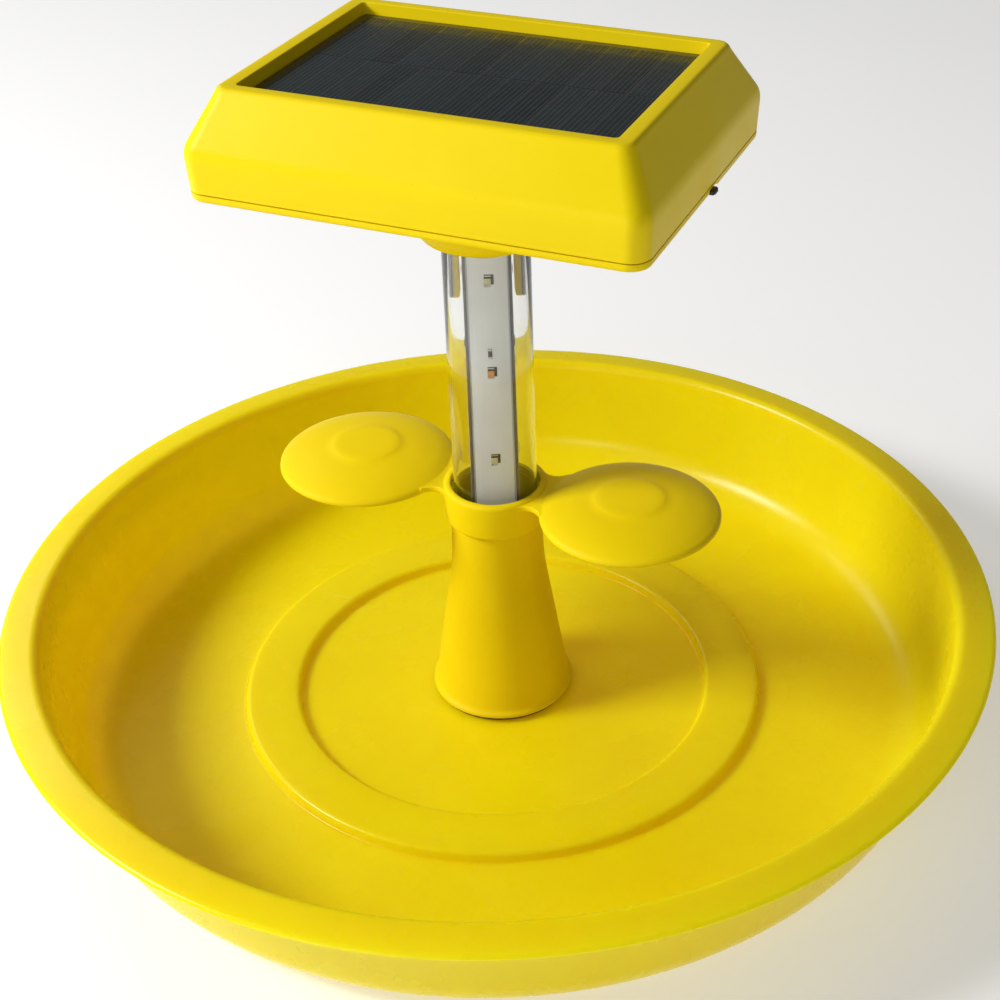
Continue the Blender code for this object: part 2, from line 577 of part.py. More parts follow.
def make_wire(name, points, look, radius=0.75):
    """A round insulated wire along a smooth route."""
    curve = bpy.data.curves.new(name, "CURVE")
    curve.dimensions = "3D"
    curve.bevel_depth = radius * MM
    curve.bevel_resolution = 2
    curve.use_fill_caps = True
    route = smooth_route([Vector(point) for point in points])
    spline = curve.splines.new("POLY")
    spline.points.add(len(route) - 1)
    for target, point in zip(spline.points, route):
        target.co = (*(point * MM), 1.0)
    curve.materials.append(look)
    bpy.context.scene.collection.objects.link(bpy.data.objects.new(name, curve))


def make_wires(red, black, white):
    y = BOARD_CENTRE[1]
    plug = WIRE_START_Z
    cell_left = CELL_CENTRE[0] - CELL_LENGTH / 2 - 2.3
    for name, dx, z, look in (("battery_wire_red", -1.6, 200.0, red), ("battery_wire_black", 1.6, 197.0, black)):
        out = cell_left - GAP - 0.5
        points = [(-12.5 + dx, y + 7, plug), (-13.5 + dx, y + 8, 206 + dx), (-28 + dx, y + 14, 207 + dx)]
        points += [(-44 + dx, 4, 206 + dx), (out - 5 + dx, 17, z + 2), (out, CELL_CENTRE[1], z)]
        make_wire(name, points, look)
    to_lamp = [(12, y + 7.5, plug), (12, y + 9, 206.5), (7, -7, 207), (1.5, -1, 202), (0, 0, 193), (0, 0, 181)]
    make_wire("lamp_wire", to_lamp, white, 1.3)
    to_panel = [(-1, y - 7.5, plug), (-1, y - 7, 206), (-2, y - 1, 210.5), (-2, y + 7, 213)]
    make_wire("panel_wire", to_panel, white, 1.1)


def clear_scene():
    for old in list(bpy.data.objects):
        bpy.data.objects.remove(old, do_unlink=True)


def empty(name, location, turn=0.0):
    made = bpy.data.objects.new(name, None)
    made.location = location
    made.rotation_euler.z = turn
    bpy.context.scene.collection.objects.link(made)
    return made


def main():
    clear_scene()
    yellow = material("yellow_plastic", (0.78, 0.55, 0.01), 0.28)
    clear = material("clear_plastic", (0.95, 0.97, 0.97), 0.05, alpha=0.3)
    rubber = material("grey_rubber", (0.16, 0.16, 0.15), 0.8)
    black = material("black_plastic", (0.02, 0.02, 0.02), 0.45)
    white = material("white_plastic", (0.75, 0.75, 0.72), 0.4)
    green = material("green_board", (0.02, 0.16, 0.06), 0.4)
    cell = material("solar_cell", (0.015, 0.03, 0.04), 0.15)
    steel = material("steel", (0.6, 0.6, 0.6), 0.3, metallic=1.0)
    wrap = material("battery_wrap", (0.05, 0.15, 0.4), 0.4)
    red = material("red_wire", (0.6, 0.03, 0.02), 0.5)
    lure = material("lure_rubber", (0.55, 0.28, 0.12), 0.8)

    make_basin(yellow)
    make_stem(yellow)
    make_stem_gasket(rubber)
    make_stem_screws(steel)
    make_collar(yellow)
    make_lures(lure)

    lamp_turn = empty("lamp_turn", (0, 0, 0), LAMP_TURN)
    make_tube(clear, rubber, black)
    make_light_bar(lamp_turn, white, white)
    make_lamp_holder(lamp_turn, yellow)

    make_head_shell(yellow)
    make_panel(cell)
    make_head_seal(rubber)
    make_bottom_cover(yellow)
    make_cover_screws(steel)
    make_switch(black, black, empty("slider_pivot", (0, SWITCH_Y * MM, COVER_Z0 * MM)))
    make_battery(wrap, black)
    make_board(green, steel)
    make_wires(red, black, white)


main()
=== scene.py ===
# %% [markdown]
# A solar wasp trap. A yellow basin holds water, a stem in its middle carries a clear lamp tube, a collar with
# two domed wings sits round the stem, and the head on top holds the solar panel and the electronics.
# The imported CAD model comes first. It could be left as it is, but its curves are coarse and its colours flat,
# so the visible pieces are made again with finer shapes, in the same places and the same sizes.

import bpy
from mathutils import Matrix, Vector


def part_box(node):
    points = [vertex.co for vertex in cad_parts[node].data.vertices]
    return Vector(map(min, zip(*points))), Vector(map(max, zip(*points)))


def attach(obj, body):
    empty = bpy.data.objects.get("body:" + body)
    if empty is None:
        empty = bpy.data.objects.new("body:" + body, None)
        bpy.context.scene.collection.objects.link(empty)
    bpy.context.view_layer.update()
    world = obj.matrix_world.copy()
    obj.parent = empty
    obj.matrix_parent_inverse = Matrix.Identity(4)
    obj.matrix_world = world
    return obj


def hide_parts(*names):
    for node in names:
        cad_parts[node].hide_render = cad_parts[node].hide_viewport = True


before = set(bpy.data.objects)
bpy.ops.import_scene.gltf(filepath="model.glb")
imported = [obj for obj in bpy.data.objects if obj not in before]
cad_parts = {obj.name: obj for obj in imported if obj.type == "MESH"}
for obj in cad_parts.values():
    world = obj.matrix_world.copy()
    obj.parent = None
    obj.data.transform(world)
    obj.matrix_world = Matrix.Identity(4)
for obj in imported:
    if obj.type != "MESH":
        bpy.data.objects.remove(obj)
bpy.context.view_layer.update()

import math

import bmesh
import bpy
from mathutils import Matrix, Vector

MM = 0.001

# %% [markdown]
# Nodes are tedious to place one by one, and a long list of links is hard to read. A small class wraps one
# output socket, so that a sum in Python adds the Math nodes that work it out. A second class adds any other
# node. The same two classes serve for shader trees and for Geometry Nodes, because both know the Math node.

# %% A socket that can be used in sums
class Wire:
    """One output of a node. Each operator adds a Math node to the same tree."""

    def __init__(self, graph, socket):
        self.graph = graph
        self.socket = socket

    def worked_out(self, operation, first, second):
        return self.graph.node("ShaderNodeMath", {"operation": operation}, {0: first, 1: second})

    def __add__(self, other):
        return self.worked_out("ADD", self, other)

    def __sub__(self, other):
        return self.worked_out("SUBTRACT", self, other)

    def __rsub__(self, other):
        return self.worked_out("SUBTRACT", other, self)

    def __mul__(self, other):
        return self.worked_out("MULTIPLY", self, other)

    def __truediv__(self, other):
        return self.worked_out("DIVIDE", self, other)

    def __mod__(self, other):
        return self.worked_out("MODULO", self, other)

    __radd__ = __add__
    __rmul__ = __mul__


# %% A tree that nodes are added to
class Graph:
    """Adds nodes to a tree: a type, its settings first, then a value or a wire for each named socket."""

    def __init__(self, tree):
        self.tree = tree

    def node(self, kind, settings=None, inputs=None, output=0):
        made = self.tree.nodes.new(kind)
        for name, value in (settings or {}).items():
            setattr(made, name, value)
        for key, value in (inputs or {}).items():
            self.feed(made.inputs[key], value)
        return Wire(self, made.outputs[output])

    def feed(self, socket, value):
        if isinstance(value, Wire):
            self.tree.links.new(value.socket, socket)
        else:
            socket.default_value = value

    def noise(self, place, scale, detail=2.0, roughness=0.5, distortion=0.0):
        sizes = {"Vector": place, "Scale": scale, "Detail": detail, "Roughness": roughness, "Distortion": distortion}
        return self.node("ShaderNodeTexNoise", None, sizes, "Fac")

    def stretched(self, place, scale, turn=(0, 0, 0)):
        return self.node("ShaderNodeMapping", None, {"Vector": place, "Scale": scale, "Rotation": turn})

    def between(self, value, low, high, start=0.0, end=1.0):
        """Maps low..high to start..end along a smooth step."""
        sizes = {"Value": value, "From Min": low, "From Max": high, "To Min": start, "To Max": end}
        return self.node("ShaderNodeMapRange", {"interpolation_type": "SMOOTHSTEP"}, sizes)

    def blend(self, factor, first, second):
        """Mixes two colours."""
        return self.node("ShaderNodeMix", {"data_type": "RGBA"}, {0: factor, 6: first, 7: second}, 2)

    def apart(self, vector):
        made = self.tree.nodes.new("ShaderNodeSeparateXYZ")
        self.feed(made.inputs[0], vector)
        return [Wire(self, socket) for socket in made.outputs]

    def together(self, x, y, z):
        return self.node("ShaderNodeCombineXYZ", None, {0: x, 1: y, 2: z})

    def function(self, operation, value):
        return self.node("ShaderNodeMath", {"operation": operation}, {0: value})


def new_look(name, **sockets):
    """A material with its graph and its Principled shader. Fixed values go straight on the shader's sockets."""
    look = bpy.data.materials.new(name)
    look.use_nodes = True
    shader = look.node_tree.nodes["Principled BSDF"]
    for socket, value in sockets.items():
        shader.inputs[socket.replace("_", " ")].default_value = value
    return look, Graph(look.node_tree), shader


def opaque(colour):
    return (*colour, 1.0)


def on_object(graph):
    """Places in metres from the origin, so that a pattern has the same size on every piece."""
    return graph.node("ShaderNodeTexCoord", output="Object")


def dressed(look, graph, shader, colour, rough, strength, distance, height):
    """The look with its colour and roughness wired, and with a bump from the height."""
    graph.feed(shader.inputs["Base Color"], colour)
    graph.feed(shader.inputs["Roughness"], rough)
    bump = graph.node("ShaderNodeBump", None, {"Strength": strength, "Distance": distance, "Height": height})
    graph.feed(shader.inputs["Normal"], bump)
    return look


# %% [markdown]
# Every yellow piece is injection moulded plastic. Real moulded plastic isn't one even colour: the pigment
# clouds a little, the surface has a fine orange-peel grain and hair scratches from handling, and its gloss changes
# where hands and dust have been. One function makes them all, with its own tint, gloss and grain for each piece,
# because the basin is shiny, while the stem and the wings have a softer finish. The basin's walls are thin enough to
# let light through, so it also gets some scattering under its skin, and its side away from the window glows.

# %% Hair scratches, which many of the finishes share
def scratches(graph, place, turns, length=9.0, fineness=520.0):
    """A mask of thin lines: noise that is stretched far along one direction, with only its crest kept."""
    total = 0.0
    for turn in turns:
        lane = graph.stretched(place, (length, fineness, length), turn)
        crest = graph.noise(lane, 1.0, 1.0)
        patch = graph.between(graph.noise(place, 21.0 + 9.0 * turn[2], 1.0), 0.5, 0.7)
        total = total + graph.between(crest, 0.735, 0.79) * patch
    return total


# %% Moulded plastic
SCRATCH_TURNS = ((0, 0, 0.4), (0.9, 0.5, 2.1))
GLOW_DEPTH = 0.007
GLOW_REACH = (1.0, 0.8, 0.05)


def moulded_plastic(name, tint, deep, roughness, grain, glow=0.0, gloss=0.1):
    """Two close yellows, a roughness and a grain. The glow is how much light passes under the skin."""
    glowing = {"Subsurface_Weight": glow, "Subsurface_Scale": GLOW_DEPTH}
    look, graph, shader = new_look(name, Specular_IOR_Level=gloss, **glowing)
    shader.inputs["Subsurface Radius"].default_value = GLOW_REACH
    place = on_object(graph)
    cloud = graph.noise(place, 11.0, 3.0, 0.55, 0.6)
    flow = graph.noise(graph.stretched(place, (60.0, 60.0, 16.0)), 1.0, 2.0)
    smudge = graph.noise(place, 34.0, 4.0, 0.6)
    peel = graph.noise(place, 950.0, 2.0)
    line = scratches(graph, place, SCRATCH_TURNS)
    speck = graph.between(graph.noise(place, 2300.0, 0.0), 0.83, 0.87)
    colour = graph.blend(graph.between(cloud, 0.3, 0.7), opaque(deep), opaque(tint))
    lighter = opaque([min(1.0, c * 1.15) for c in tint])
    colour = graph.blend(graph.between(flow, 0.45, 0.75, 0.0, 0.10), colour, lighter)
    colour = graph.blend(line * 0.10, colour, (1.0, 0.93, 0.55, 1.0))
    colour = graph.blend(speck * 0.25, colour, opaque([c * 0.4 for c in tint]))
    rough = roughness + graph.between(smudge, 0.35, 0.75, -0.03, 0.07) + line * 0.12
    height = peel * grain + smudge * (grain * 1.5) - line * 0.8
    return dressed(look, graph, shader, colour, rough, 0.35, 0.00008, height)


glossy_yellow = moulded_plastic("glossy_yellow", (0.87, 0.70, 0.004), (0.84, 0.66, 0.003), 0.27, 0.2, 1.0, 0.2)
stem_yellow = moulded_plastic("stem_yellow", (0.91, 0.69, 0.005), (0.86, 0.63, 0.003), 0.42, 0.7)
wing_yellow = moulded_plastic("wing_yellow", (0.94, 0.72, 0.004), (0.91, 0.68, 0.003), 0.46, 0.6)
head_yellow = moulded_plastic("head_yellow", (0.90, 0.69, 0.004), (0.88, 0.66, 0.003), 0.38, 0.5)
print("yellow finishes:", [look.name for look in (glossy_yellow, stem_yellow, wing_yellow, head_yellow)])

# %% [markdown]
# The lamp tube is clear plastic. It could be made see-through by alpha, but then it wouldn't bend what is seen
# through it, and the bright and dark lines along its sides would be missing. Transmission with the index of acrylic
# gives both. A little haze, as on any handled tube, keeps it from looking like a laboratory glass.

# %% Clear plastic
def clear_plastic(name):
    look, graph, shader = new_look(name, Transmission_Weight=1.0, IOR=1.49, Specular_IOR_Level=0.5)
    place = on_object(graph)
    haze = graph.noise(place, 70.0, 3.0)
    line = scratches(graph, place, ((0.0, 1.5708, 0.0),), 6.0, 700.0)
    colour = graph.blend(haze, (0.97, 0.98, 0.98, 1.0), (0.92, 0.94, 0.93, 1.0))
    rough = graph.between(haze, 0.4, 0.8, 0.01, 0.07) + line * 0.15
    wave = graph.noise(graph.stretched(place, (220.0, 220.0, 9.0)), 1.0, 1.0)
    return dressed(look, graph, shader, colour, rough, 0.25, 0.0001, wave)


clear_tube_look = clear_plastic("clear_acrylic")

# %% [markdown]
# The small pieces need plainer finishes: rubber, black plastic, plated steel, circuit board, light chips, the
# battery's sleeve. They share one recipe of two close colours in a fine noise, a changing roughness and a small bump.
# The numbers say which it is: fine and matte for rubber, coarse and shiny for a metal.

# %% A recipe for the small pieces
def speckled(name, first, second, scale, low, high, **sockets):
    """Two close colours, how fine their noise is, and the lowest and highest roughness."""
    look, graph, shader = new_look(name, **sockets)
    place = on_object(graph)
    broad = graph.noise(place, scale * 0.12, 2.0)
    fine = graph.noise(place, scale, 3.0)
    colour = graph.blend(graph.between(fine * 0.5 + broad * 0.5, 0.35, 0.65), opaque(first), opaque(second))
    return dressed(look, graph, shader, colour, graph.between(broad, 0.3, 0.7, low, high), 0.3, 0.00005, fine)


dark_rubber = speckled("dark_rubber", (0.03, 0.03, 0.028), (0.05, 0.05, 0.046), 1500, 0.65, 0.85)
lure_rubber = speckled("lure_rubber", (0.50, 0.24, 0.10), (0.60, 0.33, 0.15), 1200, 0.6, 0.8)
black_plastic = speckled("black_plastic", (0.012, 0.012, 0.013), (0.03, 0.03, 0.032), 1800, 0.35, 0.5)
dark_grey = speckled("dark_grey", (0.05, 0.05, 0.055), (0.09, 0.09, 0.10), 1500, 0.35, 0.5)
white_plastic = speckled("white_plastic", (0.62, 0.62, 0.58), (0.72, 0.72, 0.69), 900, 0.35, 0.5)
plated_steel = speckled("plated_steel", (0.48, 0.48, 0.46), (0.66, 0.65, 0.62), 2600, 0.22, 0.4, Metallic=1.0)
board_edge = speckled("board_edge", (0.16, 0.15, 0.12), (0.24, 0.22, 0.17), 2500, 0.6, 0.8)
green_board = speckled("green_board", (0.01, 0.10, 0.035), (0.02, 0.16, 0.06), 700, 0.3, 0.45)
chip_body = speckled("chip_body", (0.80, 0.74, 0.46), (0.86, 0.80, 0.54), 2500, 0.3, 0.45)
chip_gel = speckled("chip_gel", (0.72, 0.68, 0.38), (0.82, 0.79, 0.50), 2500, 0.12, 0.2)
amber_body = speckled("amber_body", (0.86, 0.52, 0.26), (0.92, 0.60, 0.33), 2500, 0.3, 0.45)
amber_gel = speckled("amber_gel", (0.90, 0.34, 0.08), (0.95, 0.46, 0.14), 2500, 0.12, 0.2)
resistor_black = speckled("resistor_black", (0.01, 0.01, 0.01), (0.03, 0.03, 0.03), 2500, 0.25, 0.4)
solder = speckled("solder", (0.55, 0.55, 0.53), (0.70, 0.70, 0.68), 3000, 0.2, 0.4, Metallic=1.0)
sleeve_blue = speckled("sleeve_blue", (0.03, 0.10, 0.32), (0.05, 0.15, 0.42), 400, 0.25, 0.4)
red_cover = speckled("red_cover", (0.50, 0.02, 0.015), (0.62, 0.04, 0.03), 900, 0.35, 0.5)
print("finishes so far:", len(bpy.data.materials))

# %% [markdown]
# Each narrow circuit board in the tube is coated white. Under the coat run two copper tracks, which show as a
# faint raised band, and the coat is a little glossy. The tracks follow the board, so the pattern reads the place
# across the board that is stored in its UV map. The coat also glows faintly, which is painted light that
# brightens the board.

# %% White circuit board
def white_board(name):
    # The faint white emission is painted light: it brightens the board, which gives no light of its own.
    sockets = {"Emission_Color": (1, 1, 0.97, 1), "Emission_Strength": 0.1}
    look, graph, shader = new_look(name, Coat_Weight=0.2, Coat_Roughness=0.2, **sockets)
    across, along, _ = graph.apart(graph.node("ShaderNodeUVMap", {"uv_map": "board"}, output="UV"))
    place = on_object(graph)
    off_centre = graph.function("ABSOLUTE", across - 0.5)
    track = graph.between(off_centre, 0.17, 0.19) * (1 - graph.between(off_centre, 0.36, 0.38))
    gap = graph.between(graph.function("ABSOLUTE", along % 0.275 - 0.137), 0.002, 0.004)
    fibre = graph.noise(place, 700.0, 3.0)
    cloud = graph.noise(place, 60.0, 2.0)
    colour = graph.blend(graph.between(cloud, 0.3, 0.7), (0.84, 0.85, 0.83, 1.0), (0.90, 0.91, 0.89, 1.0))
    colour = graph.blend(track * gap * 0.12, colour, (0.86, 0.85, 0.78, 1.0))
    rough = graph.between(cloud, 0.3, 0.7, 0.30, 0.42)
    return dressed(look, graph, shader, colour, rough, 0.4, 0.00006, track * gap + fibre * 0.15)


white_mask_painted_glow = white_board("white_board")

# %% [markdown]
# A solar cell is a dark blue-black wafer under a clear, smooth skin. Cells from one panel never match exactly,
# so each has its own tone, which Geometry Nodes store on it as a random number. The skin is the shader's coat.

# %% Solar cell, the dark backing and the silver lines
def wafer(name):
    look, graph, shader = new_look(name, Coat_Weight=0.12, Coat_Roughness=0.08, Specular_IOR_Level=0.15)
    tone = graph.node("ShaderNodeAttribute", {"attribute_name": "tone"}, output="Fac")
    place = on_object(graph)
    crystal = graph.noise(place, 260.0, 3.0)
    mix = graph.between(tone * 0.75 + crystal * 0.25, 0.1, 0.9)
    colour = graph.blend(mix, (0.006, 0.012, 0.015, 1.0), (0.012, 0.022, 0.027, 1.0))
    rough = graph.between(crystal, 0.3, 0.7, 0.28, 0.40)
    return dressed(look, graph, shader, colour, rough, 0.15, 0.00004, crystal)


cell_dark = wafer("solar_wafer")
skin = {"Coat_Weight": 0.5}
cell_backing = speckled("cell_backing", (0.006, 0.008, 0.009), (0.010, 0.013, 0.014), 800, 0.25, 0.35, **skin)
silver_line = speckled("silver_line", (0.06, 0.075, 0.08), (0.09, 0.105, 0.11), 2000, 0.35, 0.5, **skin)
print("all finishes:", len(bpy.data.materials))

# %% [markdown]
# Most of the trap is round, and a round piece is its half section turned about an axis. A real maker turns it on a
# lathe or cuts its mould on one. Blender's Spin would do, but a Geometry Nodes tree says the rule itself: take a
# grid, send each of its rows to one point of the section and each of its columns to one angle. The same tree makes
# the basin, the stem, the wings and the tube, with more or fewer steps.

# %% Soft corners for a section
LONGEST_CUT = 0.48


def softened(outline, closed=True):
    """The points of a line with its corners rounded. Each point's last number is how far back its curve starts."""
    points = [(Vector(item[:-1]), item[-1]) for item in outline]
    line = []
    for i, (corner, cut) in enumerate(points):
        before, after = points[i - 1][0], points[(i + 1) % len(points)][0]
        at_end = not closed and i in (0, len(points) - 1)
        if cut == 0 or at_end:
            line.append(corner)
            continue
        start = corner + (before - corner) * min(cut / (before - corner).length, LONGEST_CUT)
        end = corner + (after - corner) * min(cut / (after - corner).length, LONGEST_CUT)
        pieces = 4 if cut < 1.2 else 8
        for step in range(pieces + 1):
            t = step / pieces
            line.append(start * (1 - t) ** 2 + corner * (2 * t * (1 - t)) + end * t**2)
    return line


def arc(centre_r, centre_z, radius, start_deg, end_deg, count):
    """Points of a circular arc, each with no further rounding."""
    angles = [math.radians(start_deg + (end_deg - start_deg) * i / (count - 1)) for i in range(count)]
    return [(centre_r + radius * math.cos(a), centre_z + radius * math.sin(a), 0) for a in angles]


# %% The lathe, as a Geometry Nodes tree
def new_tree(name, inputs):
    """An empty geometry tree: a geometry in, the named inputs, the finish, and a geometry out."""
    tree = bpy.data.node_groups.new(name, "GeometryNodeTree")
    for label, kind in {"Geometry": "Geometry", **inputs, "Finish": "Material"}.items():
        tree.interface.new_socket(label, in_out="INPUT", socket_type=f"NodeSocket{kind}")
    tree.interface.new_socket("Geometry", in_out="OUTPUT", socket_type="NodeSocketGeometry")
    graph = Graph(tree)
    start = tree.nodes.new("NodeGroupInput")
    end = tree.nodes.new("NodeGroupOutput")
    given = {socket.name: Wire(graph, socket) for socket in start.outputs if socket.name}
    return tree, graph, given, end.inputs[0]


def made_real(graph, given, geometry, out):
    """Ends a tree: copies become plain geometry, which gets the finish."""
    real = graph.node("GeometryNodeRealizeInstances", None, {"Geometry": geometry})
    graph.feed(out, graph.node("GeometryNodeSetMaterial", None, {"Geometry": real, "Material": given["Finish"]}))


def lathe_tree():
    tree, graph, given, out = new_tree("turn_a_section", {"Steps": "Int"})
    section = given["Geometry"]
    count = graph.node("GeometryNodeAttributeDomainSize", {"component": "MESH"}, {0: section}, "Point Count")
    ring = given["Steps"] + 1
    grid = graph.node("GeometryNodeMeshGrid", None, {"Vertices X": count + 1, "Vertices Y": ring}, "Mesh")
    index = graph.node("GeometryNodeInputIndex")
    row = graph.function("FLOOR", index / ring)
    angle = (index - row * ring) / given["Steps"] * math.tau
    place = graph.node("GeometryNodeInputPosition")
    found = {"Geometry": section, "Value": place, "Index": row % count}
    radius, _, height = graph.apart(graph.node("GeometryNodeSampleIndex", {"data_type": "FLOAT_VECTOR"}, found))
    x, y = radius * graph.function("COSINE", angle), radius * graph.function("SINE", angle)
    spots = {"Geometry": grid, "Position": graph.together(x, y, height)}
    moved = graph.node("GeometryNodeSetPosition", None, spots)
    merged = graph.node("GeometryNodeMergeByDistance", None, {"Geometry": moved, "Distance": 1e-6})
    made_real(graph, given, merged, out)
    return tree


turn_a_section = lathe_tree()
print("lathe tree:", len(turn_a_section.nodes), "nodes")


# %% Turning the result into a plain mesh
WELD, SLIVER = 2e-6, 1e-7
SHARP = math.radians(35)


def clean(mesh):
    """Closes seams and poles, drops loose edges, turns the faces outward and shades the round parts smooth."""
    bm = bmesh.new()
    bm.from_mesh(mesh)
    bmesh.ops.remove_doubles(bm, verts=bm.verts, dist=WELD)
    bmesh.ops.dissolve_degenerate(bm, edges=bm.edges, dist=SLIVER)
    bmesh.ops.delete(bm, geom=[edge for edge in bm.edges if not edge.link_faces], context="EDGES")
    bmesh.ops.delete(bm, geom=[vert for vert in bm.verts if not vert.link_faces], context="VERTS")
    bmesh.ops.recalc_face_normals(bm, faces=bm.faces)
    bm.to_mesh(mesh)
    bm.free()
    mesh.shade_smooth()
    mesh.set_sharp_from_angle(angle=SHARP)
    return mesh


def finished(bm, name, look):
    """The clean mesh of a shape that was built face by face."""
    mesh = bpy.data.meshes.new(name)
    bm.to_mesh(mesh)
    bm.free()
    mesh.materials.append(look)
    return clean(mesh)


def in_scene(name, data):
    """A new object that stands in the scene, at the origin and unturned."""
    made = bpy.data.objects.new(name, data)
    bpy.context.scene.collection.objects.link(made)
    return made


def as_mesh(item):
    """What the object's modifiers make of it, as a plain mesh."""
    return bpy.data.meshes.new_from_object(item.evaluated_get(bpy.context.evaluated_depsgraph_get()))


def grown(name, tree, points, values):
    """Runs a geometry tree on a mesh of bare points and returns the plain mesh that comes out."""
    seed = bpy.data.meshes.new(name)
    seed.from_pydata(points, [], [])
    carrier = in_scene(name, seed)
    modifier = carrier.modifiers.new("tree", "NODES")
    modifier.node_group = tree
    named = {item.name: item.identifier for item in tree.interface.items_tree if item.in_out == "INPUT"}
    for label, value in values.items():
        modifier[named[label]] = value
    result = as_mesh(carrier)
    bpy.data.objects.remove(carrier)
    return result


def turned(name, outline, look, steps=96, centre=(0, 0, 0)):
    """The mesh of a turned piece, from a half section in millimetres."""
    points = [(point[0] * MM, 0, point[1] * MM) for point in softened(outline)]
    mesh = grown(name, turn_a_section, points, {"Steps": steps, "Finish": look})
    mesh.transform(Matrix.Translation(Vector(centre) * MM))
    return clean(mesh)


# %% Placing, joining and cutting
def placed(name, mesh, body, slot, *nodes):
    """The finished piece: its object at the origin, on its body, in place of its CAD nodes."""
    piece = in_scene(name, mesh)
    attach(piece, body)
    if nodes:
        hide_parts(*nodes)
    print(f"{name}: {len(mesh.polygons)} faces, replaces {', '.join(nodes) or 'nothing'}")
    return piece


def joined(name, meshes):
    """One mesh that holds several, each with its own finish."""
    whole = bpy.data.meshes.new(name)
    bm = bmesh.new()
    for mesh in meshes:
        first = len(whole.materials)
        for look in mesh.materials:
            whole.materials.append(look)
        before = len(bm.faces)
        bm.from_mesh(mesh)
        bm.faces.ensure_lookup_table()
        for face in bm.faces[before:]:
            face.material_index += first
    bm.to_mesh(whole)
    bm.free()
    return whole


def carved(mesh, others, operation="DIFFERENCE"):
    """The mesh after the others are cut from it or joined to it by Booleans."""
    piece = in_scene("work", mesh)
    helpers = []
    for i, other in enumerate(others):
        helper = in_scene(f"helper_{i}", other)
        modifier = piece.modifiers.new(f"step_{i}", "BOOLEAN")
        modifier.operation = operation
        modifier.solver = "EXACT"
        modifier.object = helper
        helpers.append(helper)
    result = as_mesh(piece)
    for item in [piece, *helpers]:
        bpy.data.objects.remove(item)
    return clean(result)


def block(name, low, high, look, bevel=0.3, segments=3):
    """A box between two corners in millimetres, with rounded edges."""
    bm = bmesh.new()
    size = Vector(high) - Vector(low)
    middle = (Vector(high) + Vector(low)) / 2
    bmesh.ops.create_cube(bm, size=1.0, matrix=Matrix.Translation(middle) @ Matrix.Diagonal((*size, 1.0)))
    if bevel:
        bmesh.ops.bevel(bm, geom=bm.edges[:], offset=bevel, segments=segments, profile=0.5, affect="EDGES")
    bmesh.ops.scale(bm, vec=(MM, MM, MM), verts=bm.verts)
    return finished(bm, name, look)


def round_hole(x, y, z0, z1, radius, look):
    """A plain round cutter in millimetres."""
    return turned("hole", [(0, z0, 0), (radius, z0, 0), (radius, z1, 0), (0, z1, 0)], look, 16, (x, y, 0))


# %% [markdown]
# The basin is one moulding: a flat floor with a raised ring, a round corner, a leaning wall and a flat rim whose edge
# turns down. It is the main round piece, so it comes off the lathe with the most steps. Three countersunk holes for
# the stem's screws are cut from below. The small well in the middle of the underside is where the mould was filled.

# %% The basin's half section
RIM_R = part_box("basin")[1].x / MM
RIM_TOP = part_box("basin")[1].z / MM
FLOOR_TOP = 2.5
LEAN = 10
CORNER_X, CORNER_R, WALL = 128.0, 17.0, 2.4


def basin_section():
    foot_r = CORNER_X + CORNER_R * math.cos(math.radians(LEAN))
    foot_z = CORNER_R - CORNER_R * math.sin(math.radians(LEAN))
    under_z = RIM_TOP - 4.2
    under_r = foot_r + (under_z - foot_z) * math.tan(math.radians(LEAN))
    well = [(0, 0.15, 0), (1.1, 0.15, 0.1), (1.3, 0.6, 0.2), (4.2, 0.6, 0.2), (4.6, 0, 0.2)]
    groove = [(70.3, 0, 0.6), (71.5, 3.0, 0.6), (83.1, 3.0, 0.6), (84.3, 0, 0.6)]
    outside = arc(CORNER_X, CORNER_R, CORNER_R, -90, -LEAN, 14)
    rim = [(under_r, under_z, 0.8), (RIM_R - 0.9, RIM_TOP - 3.2, 0.4), (RIM_R, RIM_TOP - 2.2, 0.5)]
    rim += [(RIM_R - 0.9, RIM_TOP - 1.15, 0.7), (149.0, RIM_TOP, 1.4), (147.2, RIM_TOP - 1.8, 1.5)]
    inner = arc(CORNER_X, CORNER_R, CORNER_R - WALL, -LEAN, -90, 14)
    inner = [(r, z + 0.1 * (CORNER_R - z) / CORNER_R, 0) for r, z, _ in inner]
    ring = [(86.9, FLOOR_TOP, 0.5), (86.0, 5.5, 1.3), (68.7, 5.5, 1.3), (67.7, FLOOR_TOP, 0.5)]
    return well + groove + outside + rim + inner + ring + [(0, FLOOR_TOP, 0)]


# %% Turn the basin and cut its three holes
FIXING_R, PILOT_R = 13.0, 1.85
FIXINGS = [(FIXING_R * math.cos(math.radians(a)), FIXING_R * math.sin(math.radians(a))) for a in (90, 210, 330)]

basin_mesh = turned("wasp_basin", basin_section(), glossy_yellow, steps=192)
countersink = [(0, -1, 0), (4.65, -1, 0), (1.85, 1.8, 0), (1.85, 4, 0), (0, 4, 0)]
cutters = [turned("cutter", countersink, glossy_yellow, 32, (x, y, 0)) for x, y in FIXINGS]
placed("wasp_basin", carved(basin_mesh, cutters), "base", "yellow_plastic", "basin")

# %% [markdown]
# The stem is a thin-walled cone with a foot flange, and its neck is the socket for the lamp tube. It is turned like
# the basin. The screw holes in its foot are drilled afterwards, as they would be by pins in the mould.

